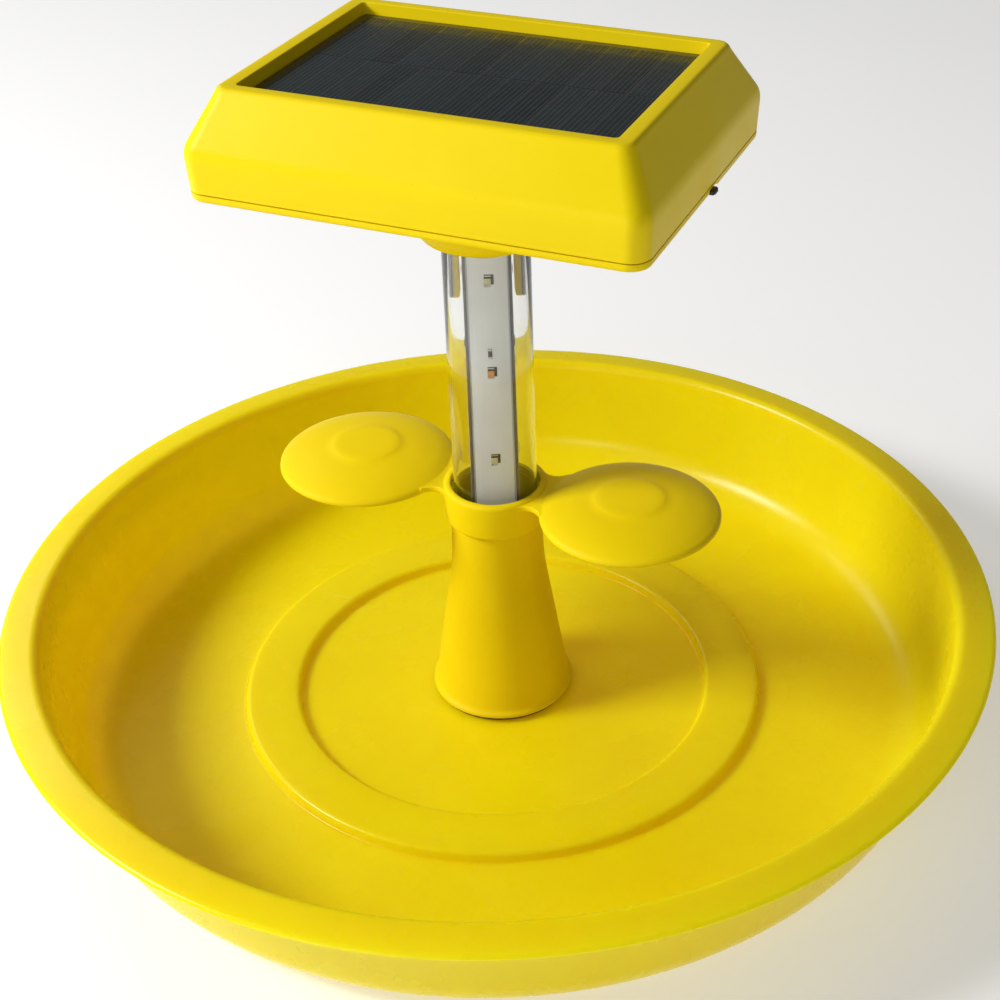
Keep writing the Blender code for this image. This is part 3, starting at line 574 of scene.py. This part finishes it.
# %% The stem
stem_section = [(23.2, 4.3, 0.25), (23.2, 5.4, 0.35), (22.1, 6.4, 0.8), (15.4, 50.0, 3.0), (14.9, 56.0, 2.5)]
stem_section += [(14.5, 66.0, 2.0), (14.5, 80.6, 0.5), (13.5, 80.6, 0.4), (13.5, 60.0, 0.3), (9.0, 60.0, 0.3)]
stem_section += [(9.0, 57.5, 0.3), (12.6, 57.5, 0.8), (13.2, 49.0, 1.0), (19.2, 10.3, 1.0)]
stem_section += [(7.0, 10.3, 0.3), (7.0, 4.3, 0.3)]
stem_mesh = turned("stem_cone", stem_section, stem_yellow, 128)
pilots = [round_hole(x, y, 3.0, 9.3, PILOT_R, stem_yellow) for x, y in FIXINGS]
placed("stem_cone", carved(stem_mesh, pilots), "base", "yellow_plastic", "stem")

# %% [markdown]
# The collar is a ring with a domed round wing on each side. Each wing hangs over a lure, keeps rain off it and gives
# wasps a place to land. The ring and the wings are turned, the webs between them are flat plates with a curved flank,
# and Booleans join the five shapes into one moulding.

# %% A flat plate from its plan
def plate(name, plan, z0, z1, look, bevel):
    """A plate that stands on a plan outline in millimetres, with its upper and lower edges rounded."""
    bm = bmesh.new()
    lower = [bm.verts.new((x * MM, y * MM, z0 * MM)) for x, y in plan]
    face = bm.faces.new(lower)
    raised = bmesh.ops.extrude_face_region(bm, geom=[face])["geom"]
    top = [item for item in raised if isinstance(item, bmesh.types.BMVert)]
    bmesh.ops.translate(bm, verts=top, vec=(0, 0, (z1 - z0) * MM))
    flat = [edge for edge in bm.edges if abs(edge.verts[0].co.z - edge.verts[1].co.z) < SLIVER]
    bmesh.ops.bevel(bm, geom=flat, offset=bevel * MM, segments=3, profile=0.5, affect="EDGES")
    return finished(bm, name, look)


# %% The web's plan, with a round flank that touches the ring and the wing
WING_X, WING_R, RING_R, FLANK = 45.4, 28.2, 16.6, 5.0


def web_plan(side):
    to_ring, to_wing = RING_R + FLANK, WING_R + FLANK
    x = (to_ring**2 - to_wing**2 + WING_X**2) / (2 * WING_X)
    y = math.sqrt(to_ring**2 - x**2)
    start, end = math.degrees(math.atan2(-y, -x)), math.degrees(math.atan2(-y, WING_X - x))
    flank = [point[:2] for point in arc(x, y, FLANK, start, end, 16)]
    ring_angle = math.degrees(math.atan2(y, x))
    wing_angle = math.degrees(math.atan2(y, WING_X - x))
    inner = [point[:2] for point in arc(0, 0, RING_R - 0.9, -ring_angle, ring_angle, 9)]
    outer = [point[:2] for point in arc(WING_X, 0, WING_R - 2.5, 180 - wing_angle, 180 + wing_angle, 9)]
    plan = inner + flank + outer + [(px, -py) for px, py in flank[::-1]]
    return [(side * px, py) for px, py in plan]


# %% The ring, the wings and the webs
ring_section = [(15.0, 70.3, 0.3), (15.6, 70.3, 0.3), (16.05, 71.0, 0.4), (16.6, 82.2, 1.0), (15.7, 83.0, 0.7)]
ring_section += [(14.2, 83.0, 0.5), (14.2, 81.0, 0.2), (15.0, 81.0, 0.2)]
wing_section = [(0, 77.0, 0), (3.0, 77.0, 0.4), (3.0, 85.2, 0.4), (10.5, 85.0, 2.0), (18.0, 83.8, 3.0)]
wing_section += [(24.0, 82.1, 2.0), (26.6, 80.4, 0.5), (WING_R, 80.4, 0.35), (WING_R, 81.4, 0.5)]
wing_section += [(27.4, 82.3, 0.8), (24.0, 83.9, 2.0)]
wing_section += [(18.0, 85.6, 3.0), (12.2, 86.5, 1.6), (9.8, 87.25, 2.2), (0, 87.6, 0)]
wing_shapes = [turned("ring", ring_section, wing_yellow, 128)]
for side in (-1, 1):
    wing_shapes.append(turned("wing", wing_section, wing_yellow, 128, (side * WING_X, 0, 0)))
    wing_shapes.append(plate("web", web_plan(side), 80.4, 82.3, wing_yellow, 0.45))
collar_mesh = carved(wing_shapes[0], wing_shapes[1:], "UNION")
placed("winged_collar", collar_mesh, "collar", "yellow_plastic", "lure_collar")

# %% The lures under the wings
lure_section = [(0, 68.0, 0), (5.0, 68.0, 0.8), (5.6, 69.0, 0.4), (5.3, 71.5, 0.3), (5.0, 72.0, 0.3)]
lure_section += [(5.5, 72.6, 0.3), (5.2, 75.2, 0.3), (4.9, 75.7, 0.3), (5.4, 76.3, 0.3), (5.0, 80.6, 0.3)]
lure_section += [(6.4, 81.2, 0.4), (6.4, 83.4, 0.6), (5.6, 84.6, 0.4), (3.3, 84.6, 0.2), (3.3, 76.4, 0.2)]
lure_section += [(0, 76.4, 0)]
for side, word in ((-1, "left"), (1, "right")):
    mesh = turned(f"lure_{word}", lure_section, lure_rubber, 40, (side * WING_X, 0, 0))
    placed(f"lure_{word}", mesh, "collar", "lure_rubber", f"lure_plug_{word}")

# %% [markdown]
# The tube is extruded clear plastic, cut square with slightly broken edges, and closed at its lower end by a cap. Its
# wall has a real thickness, because the light must bend at both of its faces.

# %% The clear tube and its end cap
BORE_R, TUBE_R = 12.0, 13.2
PLUG_R = BORE_R - 0.3
tube_section = [(BORE_R, 62.3, 0.25), (TUBE_R, 62.3, 0.35), (TUBE_R, 187.0, 0.35), (BORE_R, 187.0, 0.25)]
placed("lamp_tube", turned("lamp_tube", tube_section, clear_tube_look, 128), "lamp", "clear_plastic", "clear_tube")
cap_section = [(0, 60.3, 0), (TUBE_R, 60.3, 0.6), (TUBE_R, 62.0, 0.2), (PLUG_R, 62.0, 0.2), (PLUG_R, 65.7, 0.3)]
cap_mesh = turned("lamp_end_cap", [*cap_section, (0, 65.7, 0)], stem_yellow, 64)
placed("lamp_end_cap", cap_mesh, "lamp", "black_plastic", "tube_end_cap")

# %% [markdown]
# What repeats is made once and copied by Geometry Nodes. One tree puts a copy on each point of a mesh, with a random
# turn from a fixed seed, as screws end up at any angle. Another makes the points itself, in rows and columns, for the
# solar cells and their silver lines. Both keep a random tone on each copy, and both end in real, plain geometry.

# %% The two copying trees
ONE_FLOAT = {"data_type": "FLOAT"}


def copies_onto(graph, given, points, out, turn):
    """Puts the piece on the points with a random turn, stores its tone, and makes the copies real."""
    seed = given["Seed"]
    tone = graph.node("FunctionNodeRandomValue", ONE_FLOAT, {8: seed}, 1)
    kept = {"Geometry": points, "Name": "tone", "Value": tone}
    toned = graph.node("GeometryNodeStoreNamedAttribute", {**ONE_FLOAT, "domain": "POINT"}, kept)
    piece = graph.node("GeometryNodeObjectInfo", None, {"Object": given["Piece"]}, "Geometry")
    held = {"Points": toned, "Instance": piece}
    if turn:
        angle = graph.node("FunctionNodeRandomValue", ONE_FLOAT, {2: 0.0, 3: given["Turn"], 8: seed + 7}, 1)
        held["Rotation"] = graph.together(0.0, 0.0, angle)
    made_real(graph, given, graph.node("GeometryNodeInstanceOnPoints", None, held), out)


def points_tree():
    inputs = {"Piece": "Object", "Turn": "Float", "Seed": "Int"}
    tree, graph, given, out = new_tree("copy_on_points", inputs)
    copies_onto(graph, given, given["Geometry"], out, True)
    return tree


def rows_tree():
    inputs = {"Piece": "Object", "Columns": "Int", "Rows": "Int", "Pitch X": "Float", "Pitch Y": "Float"}
    tree, graph, given, out = new_tree("copy_in_rows", {**inputs, "Seed": "Int"})
    counts = {"Vertices X": given["Columns"], "Vertices Y": given["Rows"]}
    width, length = given["Pitch X"] * (given["Columns"] - 1), given["Pitch Y"] * (given["Rows"] - 1)
    sizes = {"Size X": width, "Size Y": length}
    grid = graph.node("GeometryNodeMeshGrid", None, {**counts, **sizes}, "Mesh")
    copies_onto(graph, given, grid, out, False)
    return tree


copy_on_points = points_tree()
copy_in_rows = rows_tree()


def copies(name, tree, piece_mesh, look, points=((0, 0, 0),), **values):
    """The mesh of many copies of one small piece. Points are in millimetres, pitches in metres."""
    model = in_scene("model", piece_mesh)
    places = [[value * MM for value in point] for point in points]
    values = {label.replace("_", " "): value for label, value in values.items()}
    mesh = grown(name, tree, places, {"Piece": model, "Finish": look, "Seed": 3, **values})
    bpy.data.objects.remove(model)
    return clean(mesh)


print("copying trees:", copy_on_points.name, copy_in_rows.name)

# %% [markdown]
# Each circuit board carries three light chips and a resistor. A light chip is a pale plastic body with a gel window
# in the middle and two solder fillets at its ends. The middle chip of each board is an amber one. The chips are
# copied along the board, and the four finished boards stand round a square white core.

# %% One circuit board with its chips
STRIP_FACE, STRIP_HALF = 7.2, 5.8
STRIP_LOW, STRIP_HIGH = 67.0, 177.0
PALE_CHIPS, AMBER_CHIP, RESISTOR_Z = (95.4, 156.4), 125.9, 132.6
LAMP_TURN = math.radians(25)


def board_plate():
    """The white coated board, with brown edges and a UV map that runs across it and along it."""
    face = -STRIP_FACE
    mesh = block("board", (-STRIP_HALF, face, STRIP_LOW), (STRIP_HALF, face + 1.0, STRIP_HIGH), white_mask_painted_glow, 0.12, 2)
    mesh.materials.append(board_edge)
    layer = mesh.uv_layers.new(name="board")
    for polygon in mesh.polygons:
        if abs(polygon.normal.y) < 0.7:
            polygon.material_index = 1
        for loop in polygon.loop_indices:
            spot = mesh.vertices[mesh.loops[loop].vertex_index].co / MM
            along = (spot.z - STRIP_LOW) / (STRIP_HIGH - STRIP_LOW)
            layer.data[loop].uv = ((spot.x + STRIP_HALF) / (2 * STRIP_HALF), along)
    return mesh


def chip_meshes(heights, body_look, gel_look):
    """The bodies, gel windows and solder ends of the light chips at these heights, and behind each a thin dark plate
    that is a painted shadow.
    """
    face = -STRIP_FACE
    points = [(0, face, z) for z in heights]
    body = block("body", (-1.4, -0.75, -1.6), (1.4, 0.05, 1.6), body_look, 0.1, 2)
    body = carved(body, [block("room", (-1.05, -0.9, -1.15), (1.05, -0.6, 1.15), body_look, 0.25)])
    gel = block("gel", (-1.0, -0.68, -1.1), (1.0, -0.55, 1.1), gel_look, 0.05, 2)
    feet = [block("foot", (-1.0, -0.3, z - 0.22), (1.0, 0.05, z + 0.22), solder, 0.1, 2) for z in (-1.68, 1.68)]
    # A thin black plate behind each chip sticks out at its top and right side: it is painted shadow round the chip,
    # not a real part.
    chip_shadow_plate = block("chip_shadow_plate", (-0.95, -0.12, -1.1), (1.85, 0.04, 2.1), resistor_black, 0.03, 1)
    shapes = [(body, body_look), (gel, gel_look), (joined("feet", feet), solder), (chip_shadow_plate, resistor_black)]
    return [copies("chips", copy_on_points, mesh, look, points, Turn=0.0) for mesh, look in shapes]


def resistor_meshes():
    face = -STRIP_FACE
    low, high = (-0.62, face - 0.55, RESISTOR_Z - 1.1), (0.62, face, RESISTOR_Z + 1.1)
    body = block("resistor", low, high, resistor_black, 0.1, 2)
    ends = [(-0.66, RESISTOR_Z - 1.6, RESISTOR_Z - 0.95), (-0.66, RESISTOR_Z + 0.95, RESISTOR_Z + 1.6)]
    caps = [block("cap", (x, face - 0.6, z0), (-x, face, z1), solder, 0.1, 2) for x, z0, z1 in ends]
    return [body, *caps]


# %% The four boards, the core and the yellow plug that holds them
board_meshes = [board_plate(), *chip_meshes(PALE_CHIPS, chip_body, chip_gel)]
board_meshes += [*chip_meshes((AMBER_CHIP,), amber_body, amber_gel), *resistor_meshes()]
for i, word in enumerate(("front", "right", "back", "left")):
    mesh = joined(f"light_board_{word}", board_meshes)
    mesh.transform(Matrix.Rotation(LAMP_TURN + i * math.pi / 2, 4, "Z"))
    mesh.set_sharp_from_angle(angle=SHARP)
    placed(f"light_board_{word}", mesh, "lamp", "white_plastic", f"led_strip_{word}")

core_mesh = block("light_core", (-5.9, -5.9, 66.0), (5.9, 5.9, 178.0), white_plastic, 0.5)
core_mesh.transform(Matrix.Rotation(LAMP_TURN, 4, "Z"))
placed("light_core", core_mesh, "lamp", "white_plastic", "light_bar_core")

holder_section = [(8.0, 166.0, 0.3), (PLUG_R, 166.0, 0.4), (PLUG_R, 187.3, 0.2), (TUBE_R, 187.3, 0.2)]
holder_section += [(TUBE_R, 189.2, 0.3), (8.0, 189.2, 0.3)]
holder_mesh = turned("light_holder", holder_section, stem_yellow, 64)
LEGS, SLEEVES = ((-11.2, -8.4), (8.4, 11.2)), ((-11.5, -10.3), (10.3, 11.5))
legs = [block("leg", (x0, -2.2, 148.5), (x1, 2.2, 170.0), stem_yellow, 0.5) for x0, x1 in LEGS]
holder_mesh = carved(holder_mesh, legs, "UNION")
holder_mesh = carved(holder_mesh, [block("room", (-7.5, -7.5, 165.0), (7.5, 7.5, 179.0), stem_yellow, 0)])
sleeves = [block("sleeve", (x0, -3.0, 149.3), (x1, 3.0, 169.0), dark_grey) for x0, x1 in SLEEVES]
holder_mesh = joined("light_holder", [holder_mesh, *sleeves])
holder_mesh.transform(Matrix.Rotation(LAMP_TURN, 4, "Z"))
placed("light_holder", holder_mesh, "lamp", "yellow_plastic", "lamp_holder")

# %% [markdown]
# The head is a shell with low upright sides, sides that slope in above them, and a flat frame round the panel.
# It follows a rule too: rounded rectangles stacked at different heights, each with its own size and corner. Lofting
# them, with every bend of the stack softened, gives the outside, the recess and the inside in one closed skin.

# %% Lofting rounded rectangles
PER_CORNER = 14


def rounded_rectangle(half_x, half_y, corner):
    points = []
    for sign_x, sign_y, start in ((1, 1, 0), (-1, 1, 90), (-1, -1, 180), (1, -1, 270)):
        middle_x, middle_y = sign_x * (half_x - corner), sign_y * (half_y - corner)
        for i in range(PER_CORNER):
            a = math.radians(start + 90 * i / (PER_CORNER - 1))
            points.append((middle_x + corner * math.cos(a), middle_y + corner * math.sin(a)))
    return points


def lofted(name, sections, look, ring=True):
    """A skin through sections (half length, half width, corner, height, softness) in millimetres."""
    bm = bmesh.new()
    loops = []
    for half_x, half_y, corner, z in softened(sections, closed=ring):
        loops.append([bm.verts.new((x * MM, y * MM, z * MM)) for x, y in rounded_rectangle(half_x, half_y, corner)])
    pairs = list(zip(loops, loops[1:])) + ([(loops[-1], loops[0])] if ring else [])
    for lower, upper in pairs:
        for i in range(len(lower)):
            j = (i + 1) % len(lower)
            bm.faces.new((lower[i], lower[j], upper[j], upper[i]))
    if not ring:
        bm.faces.new(loops[0])
        bm.faces.new(loops[-1])
    return finished(bm, name, look)


# %% The head's shell
HEAD_X, HEAD_Y = (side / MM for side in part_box("head_shell")[1][:2])
PANEL_X, PANEL_Y, PANEL_TOP = (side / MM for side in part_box("solar_panel")[1])
SEAM_Z, LEDGE_Z, HEAD_TOP = 192.2, 214.1, 219.8
SCREW_POSTS = [(x, y) for x in (-54.0, 54.0) for y in (-34.0, 34.0)]


def head_sections():
    x, y = HEAD_X, HEAD_Y
    side = [(x - 0.6, y - 0.6, 6.0, SEAM_Z, 0.35), (x, y, 6.0, 203.8, 2.6), (x - 6.9, y - 8.7, 4.6, 217.5, 1.8)]
    top = [(x - 8.0, y - 10.0, 3.8, HEAD_TOP, 1.7), (PANEL_X + 0.7, PANEL_Y + 0.7, 1.4, HEAD_TOP, 0.4)]
    recess = [(PANEL_X + 0.5, PANEL_Y + 0.5, 1.2, LEDGE_Z, 0.2), (PANEL_X - 4, PANEL_Y - 4, 1.2, LEDGE_Z, 0.3)]
    inside = [(PANEL_X - 4, PANEL_Y - 4, 1.2, 212.6, 0.3), (x - 8.7, y - 10.3, 3.4, 212.6, 0.9)]
    inside += [(x - 2.2, y - 2.2, 4.0, 203.0, 1.5), (x - 2.8, y - 2.8, 4.0, SEAM_Z, 0.3)]
    return side + top + recess + inside


shell_mesh = lofted("solar_head", head_sections(), head_yellow)
post_section = [(0, 193.8, 0), (3.6, 193.8, 0.3), (3.6, 213.3, 0), (0, 213.3, 0)]
posts = [turned("post", post_section, head_yellow, 24, (x, y, 0)) for x, y in SCREW_POSTS]
shell_mesh = carved(shell_mesh, posts, "UNION")
shell_mesh = carved(shell_mesh, [round_hole(x, y, 193.0, 204.0, PILOT_R, head_yellow) for x, y in SCREW_POSTS])
placed("solar_head", shell_mesh, "lamp", "yellow_plastic", "head_shell")

# %% [markdown]
# The panel is a dark board with two rows of twelve cells. Fine silver lines run over each cell across the panel and
# collect its current. Cells and lines are thin tiles copied in rows, so that they catch the light as real ones do.

# %% The panel, its cells and its lines
COLUMNS, ROWS, LINES_PER_CELL = 12, 2, 6
MARGIN, PANEL_THICK = 2.2, 2.0
PITCH_X, PITCH_Y = 2 * (PANEL_X - MARGIN) / COLUMNS, 2 * (PANEL_Y - MARGIN) / ROWS
plan = (PANEL_X, PANEL_Y, 0.8)
faces = [(*plan, PANEL_TOP - PANEL_THICK, 0.2), (*plan, PANEL_TOP - 0.08, 0.25)]
backing = lofted("solar_backing", faces, cell_backing, ring=False)
tile_x, tile_y, line_y = PITCH_X / 2 - 0.3, PITCH_Y / 2 - 0.4, PITCH_Y / 2 - 0.6
tile = block("tile", (-tile_x, -tile_y, -0.3), (tile_x, tile_y, 0.0), cell_dark, 0.03, 1)
line = block("line", (-0.07, -line_y, -0.05), (0.07, line_y, 0.012), silver_line, 0)
cell_grid = {"Columns": COLUMNS, "Rows": ROWS, "Pitch_X": PITCH_X * MM, "Pitch_Y": PITCH_Y * MM}
cells = copies("cells", copy_in_rows, tile, cell_dark, **cell_grid)
line_grid = {**cell_grid, "Columns": COLUMNS * LINES_PER_CELL, "Pitch_X": PITCH_X * MM / LINES_PER_CELL}
lines = copies("lines", copy_in_rows, line, silver_line, **line_grid)
for mesh in (cells, lines):
    mesh.transform(Matrix.Translation((0, 0, (PANEL_TOP - 0.015) * MM)))
placed("solar_cells", joined("solar_cells", [backing, cells, lines]), "lamp", "solar_cell", "solar_panel")

# %% [markdown]
# The cover closes the head from below. Its round boss guides the tube and widens into the plate in a soft curve, four
# sunk holes take its screws, and a channel at one end holds the switch's slider. It starts as a lofted plate and a
# turned boss, and Booleans join them and cut the bore, the holes and the channel.

# %% The bottom cover
PLATE_TOP = 190.6
BOARD_PEGS = [(-23.0, -24.0), (23.0, -24.0)]
cover_x, cover_y = HEAD_X - 0.6, HEAD_Y - 0.6
cover_sections = [(cover_x - 1.2, cover_y - 1.2, 5.0, 189.5, 0), (cover_x - 0.35, cover_y - 0.35, 5.8, 189.8, 0.5)]
cover_sections += [(cover_x, cover_y, 6.0, 190.7, 0.5), (cover_x, cover_y, 6.0, 191.9, 0)]
cover_mesh = lofted("head_cover", cover_sections, head_yellow, ring=False)
boss_section = [(0, 169.5, 0), (18.9, 169.5, 0.6), (20.3, 171.3, 1.2), (21.6, 187.0, 3.5), (24.4, 189.6, 1.2)]
boss_section += [(24.4, PLATE_TOP, 0), (0, PLATE_TOP, 0)]
extras = [turned("boss", boss_section, head_yellow, 128)]
peg_section = [(0, PLATE_TOP, 0), (3.0, PLATE_TOP, 0), (3.0, 194.5, 0.3), (0, 194.5, 0)]
extras += [turned("peg", peg_section, head_yellow, 24, (x, y, 0)) for x, y in BOARD_PEGS]
cover_mesh = carved(cover_mesh, extras, "UNION")
bore = [(0, 168.5, 0), (13.6, 168.5, 0), (13.6, 173.3, 0), (15.6, 173.3, 0), (15.6, 175.7, 0), (13.6, 175.7, 0)]
bore += [(13.6, 189.5, 0), (10.0, 189.5, 0), (10.0, 193.0, 0), (0, 193.0, 0)]
cuts = [turned("bore", bore, head_yellow, 96)]
sunk = [(0, 188.5, 0), (3.4, 188.5, 0), (3.4, 190.7, 0), (1.9, 190.7, 0), (1.9, 193.0, 0), (0, 193.0, 0)]
cuts += [turned("sunk", sunk, head_yellow, 32, (x, y, 0)) for x, y in SCREW_POSTS]
cuts += [round_hole(x, y, 191.0, 196.0, 1.3, head_yellow) for x, y in BOARD_PEGS]
cuts += [block("channel", (58.0, 1.6, 188.5), (72.0, 10.4, 191.3), head_yellow, 0)]
cuts += [block("slot", (58.4, 2.5, 190.5), (61.6, 9.5, 193.2), head_yellow, 0)]
placed("head_cover", carved(cover_mesh, cuts), "lamp", "yellow_plastic", "bottom_cover")

# %% [markdown]
# The slider is a small black tongue with a neck that reaches up into the switch. Three ribs on its tip give a
# fingernail some grip. They are copies too, made with the tree for points.

# %% The switch's slider
slider_parts = [block("tongue", (59.0, 2.1, 189.7), (68.3, 5.9, 191.0), black_plastic, 0.25)]
slider_parts += [block("neck", (59.2, 3.0, 190.5), (60.8, 5.0, 194.0), black_plastic, 0.1)]
rib = block("rib", (-0.35, -0.22, -0.6), (0.3, 0.22, 0.6), black_plastic, 0.1, 2)
ribs = copies("ribs", copy_on_points, rib, black_plastic, [(68.3, y, 190.35) for y in (3.0, 4.0, 5.0)], Turn=0.0)
slider_mesh = joined("switch_tongue", [carved(slider_parts[0], slider_parts[1:], "UNION"), ribs])
placed("switch_tongue", slider_mesh, "slider", "black_plastic", "switch_slider")

# %% [markdown]
# Three countersunk screws hold the stem and four pan-head screws hold the cover. Each screw has a cross recess and
# threads, and the same tree sets them down, each at its own random turn.

# %% A screw with a cross recess, head down
THREAD_PITCH, ROOT_R, CREST_R = 0.55, 1.22, 1.5
ARM_LONG, ARM_HALF, ARM_DEEP = 1.7, 0.28, 0.75


def screw(name, head, length):
    """A screw mesh: the head's section, then a shank with threads up to its pointed tip."""
    section = list(head)
    bottom = head[-1][1]
    turns = int((length - bottom - 1.4) / THREAD_PITCH)
    for i in range(turns):
        z = bottom + 0.3 + i * THREAD_PITCH
        section += [(ROOT_R, z, 0.05), (CREST_R, z + 0.22, 0.05), (ROOT_R, z + 0.44, 0.05)]
    section += [(1.1, length - 0.9, 0.1), (0, length, 0)]
    mesh = turned(name, section, plated_steel, 32)
    ends = ((ARM_LONG, ARM_HALF), (ARM_HALF, ARM_LONG))
    arms = [block("arm", (-x, -y, -1), (x, y, ARM_DEEP), plated_steel, 0) for x, y in ends]
    return carved(mesh, arms)


def screws_at(name, screw_mesh, places):
    return copies(name, copy_on_points, screw_mesh, plated_steel, places, Turn=1.5)


flat_head = [(0, 0, 0), (2.9, 0, 0.12), (2.75, 0.25, 0.1), (1.3, 1.6, 0.2)]
pan_head = [(0, -0.05, 0), (2.0, 0.0, 0.5), (3.0, 0.5, 0.35), (3.0, 1.3, 0.1), (1.3, 1.3, 0.1)]
stem_screws = screws_at("stem_screws", screw("flat_screw", flat_head, 8.6), [(x, y, 0.2) for x, y in FIXINGS])
placed("stem_screws", stem_screws, "base", "steel", "stem_screw_1", "stem_screw_2", "stem_screw_3")
under_cover = [(x, y, 189.05) for x, y in SCREW_POSTS]
cover_screws = screws_at("cover_screws", screw("pan_screw", pan_head, 12.5), under_cover)
placed("cover_screws", cover_screws, "lamp", "steel", *[f"cover_screw_{i}" for i in range(1, 5)])

# %% [markdown]
# What is sealed inside the head keeps its CAD shape, which is right already, and only gets its finish: the battery
# in its tray, the charging board with its screws, the switch, the leads, and the rubber seals.

# %% Finishes for the pieces that stay
KEPT = {
    dark_rubber: ("stem_gasket", "tube_seal", "head_seal"),
    black_plastic: ("switch_body", "battery_tray", "battery_wire_black"),
    white_plastic: ("lamp_wire", "panel_wire"),
    plated_steel: ("board_screw_1", "board_screw_2"),
    green_board: ("control_board",),
    sleeve_blue: ("battery_cell",),
    red_cover: ("battery_wire_red",),
}
for look, names in KEPT.items():
    for name in names:
        for kept_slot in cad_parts[name].material_slots:
            kept_slot.material = look
print("kept from the CAD:", sorted(name for names in KEPT.values() for name in names))

# %% [markdown]
# The trap stands on a plain pale floor. One soft window high on the left does most of the work: it gives the bright
# left side of the stem, the shade on the head's right end and the stem's shadow on the floor. Two weaker windows, one
# further back and one low in front, stand for the rest of a bright room. The surroundings are kept weak, because
# strong light from everywhere would wash the shadows out. Looked at directly they would then be a dark grey behind
# the floor's far edge, so they are pale to look at and weak as light.

# %% Floor
FLOOR_HALF = 12


def floor_look():
    sockets = {"Emission_Color": (1, 1, 1, 1), "Emission_Strength": 0.38}
    look, graph, shader = new_look("pale_floor", Specular_IOR_Level=0.2, **sockets)
    place = on_object(graph)
    cloud = graph.noise(place, 3.0, 2.0)
    graph.feed(shader.inputs["Base Color"], graph.blend(cloud, (0.74, 0.74, 0.74, 1.0), (0.77, 0.77, 0.77, 1.0)))
    graph.feed(shader.inputs["Roughness"], graph.between(cloud, 0.3, 0.7, 0.6, 0.7))
    return look


floor_mesh = bpy.data.meshes.new("floor")
corners = [(x * FLOOR_HALF, y * FLOOR_HALF, 0) for x, y in ((-1, -1), (1, -1), (1, 1), (-1, 1))]
floor_mesh.from_pydata(corners, [], [(0, 1, 2, 3)])
floor_mesh.materials.append(floor_look())
floor = in_scene("floor", floor_mesh)
print("floor:", 2 * FLOOR_HALF, "m square")

# %% Surroundings and lights
AS_LIGHT, LOOKED_AT = 0.18, 0.80
TARGET = Vector((0, 0, 0.08))
WINDOW_DISTANCE = 1.3

world = bpy.data.worlds.new("studio")
world.use_nodes = True
background = world.node_tree.nodes["Background"]
background.inputs["Color"].default_value = (1.0, 0.97, 0.93, 1.0)
sky = Graph(world.node_tree)
camera_ray = sky.node("ShaderNodeLightPath", output="Is Camera Ray")
sky.feed(background.inputs["Strength"], sky.between(camera_ray, 0.0, 1.0, AS_LIGHT, LOOKED_AT))
bpy.context.scene.world = world


def soft_light(name, direction, size, watts):
    """A rectangular panel of light that faces the trap."""
    lamp = bpy.data.lights.new(name, "AREA")
    lamp.shape = "RECTANGLE"
    lamp.size, lamp.size_y = size
    lamp.energy = watts
    holder = in_scene(name, lamp)
    toward = Vector(direction).normalized()
    holder.location = TARGET + toward * WINDOW_DISTANCE
    holder.rotation_euler = toward.to_track_quat("Z", "Y").to_euler()


soft_light("window", (-0.75, -0.44, 0.61), (0.40, 0.34), 14.5)
soft_light("side_window", (-0.74, 0.36, 0.57), (0.5, 0.4), 1.9)
soft_light("front_window", (-0.12, -0.95, 0.29), (0.5, 0.35), 2.7)

# %% [markdown]
# The camera stands in front, a little to the right and well above the rim, and looks down into the basin. Its frame
# is shifted a little, so that the head and the whole rim both fit closely.

# %% Camera
CAMERA_AT = Vector((0.201256, -0.430539, 0.389670))
LOOK_ALONG = Vector((-0.32344, 0.78470, -0.52880)).normalized()
RIGHT = Vector((0.92761, 0.37330, -0.01343))
RIGHT = (RIGHT - LOOK_ALONG * RIGHT.dot(LOOK_ALONG)).normalized()
UP = RIGHT.cross(LOOK_ALONG)

lens = bpy.data.cameras.new("camera")
lens.sensor_width = 36.0
lens.lens = 64.27
lens.shift_x, lens.shift_y = -0.0643, -0.0508
lens.clip_start, lens.clip_end = 0.01, 50.0
camera = in_scene("camera", lens)
turn = Matrix((RIGHT, UP, -LOOK_ALONG)).transposed().to_4x4()
camera.matrix_world = Matrix.Translation(CAMERA_AT) @ turn
bpy.context.scene.camera = camera
bpy.context.scene.view_settings.view_transform = "Standard"
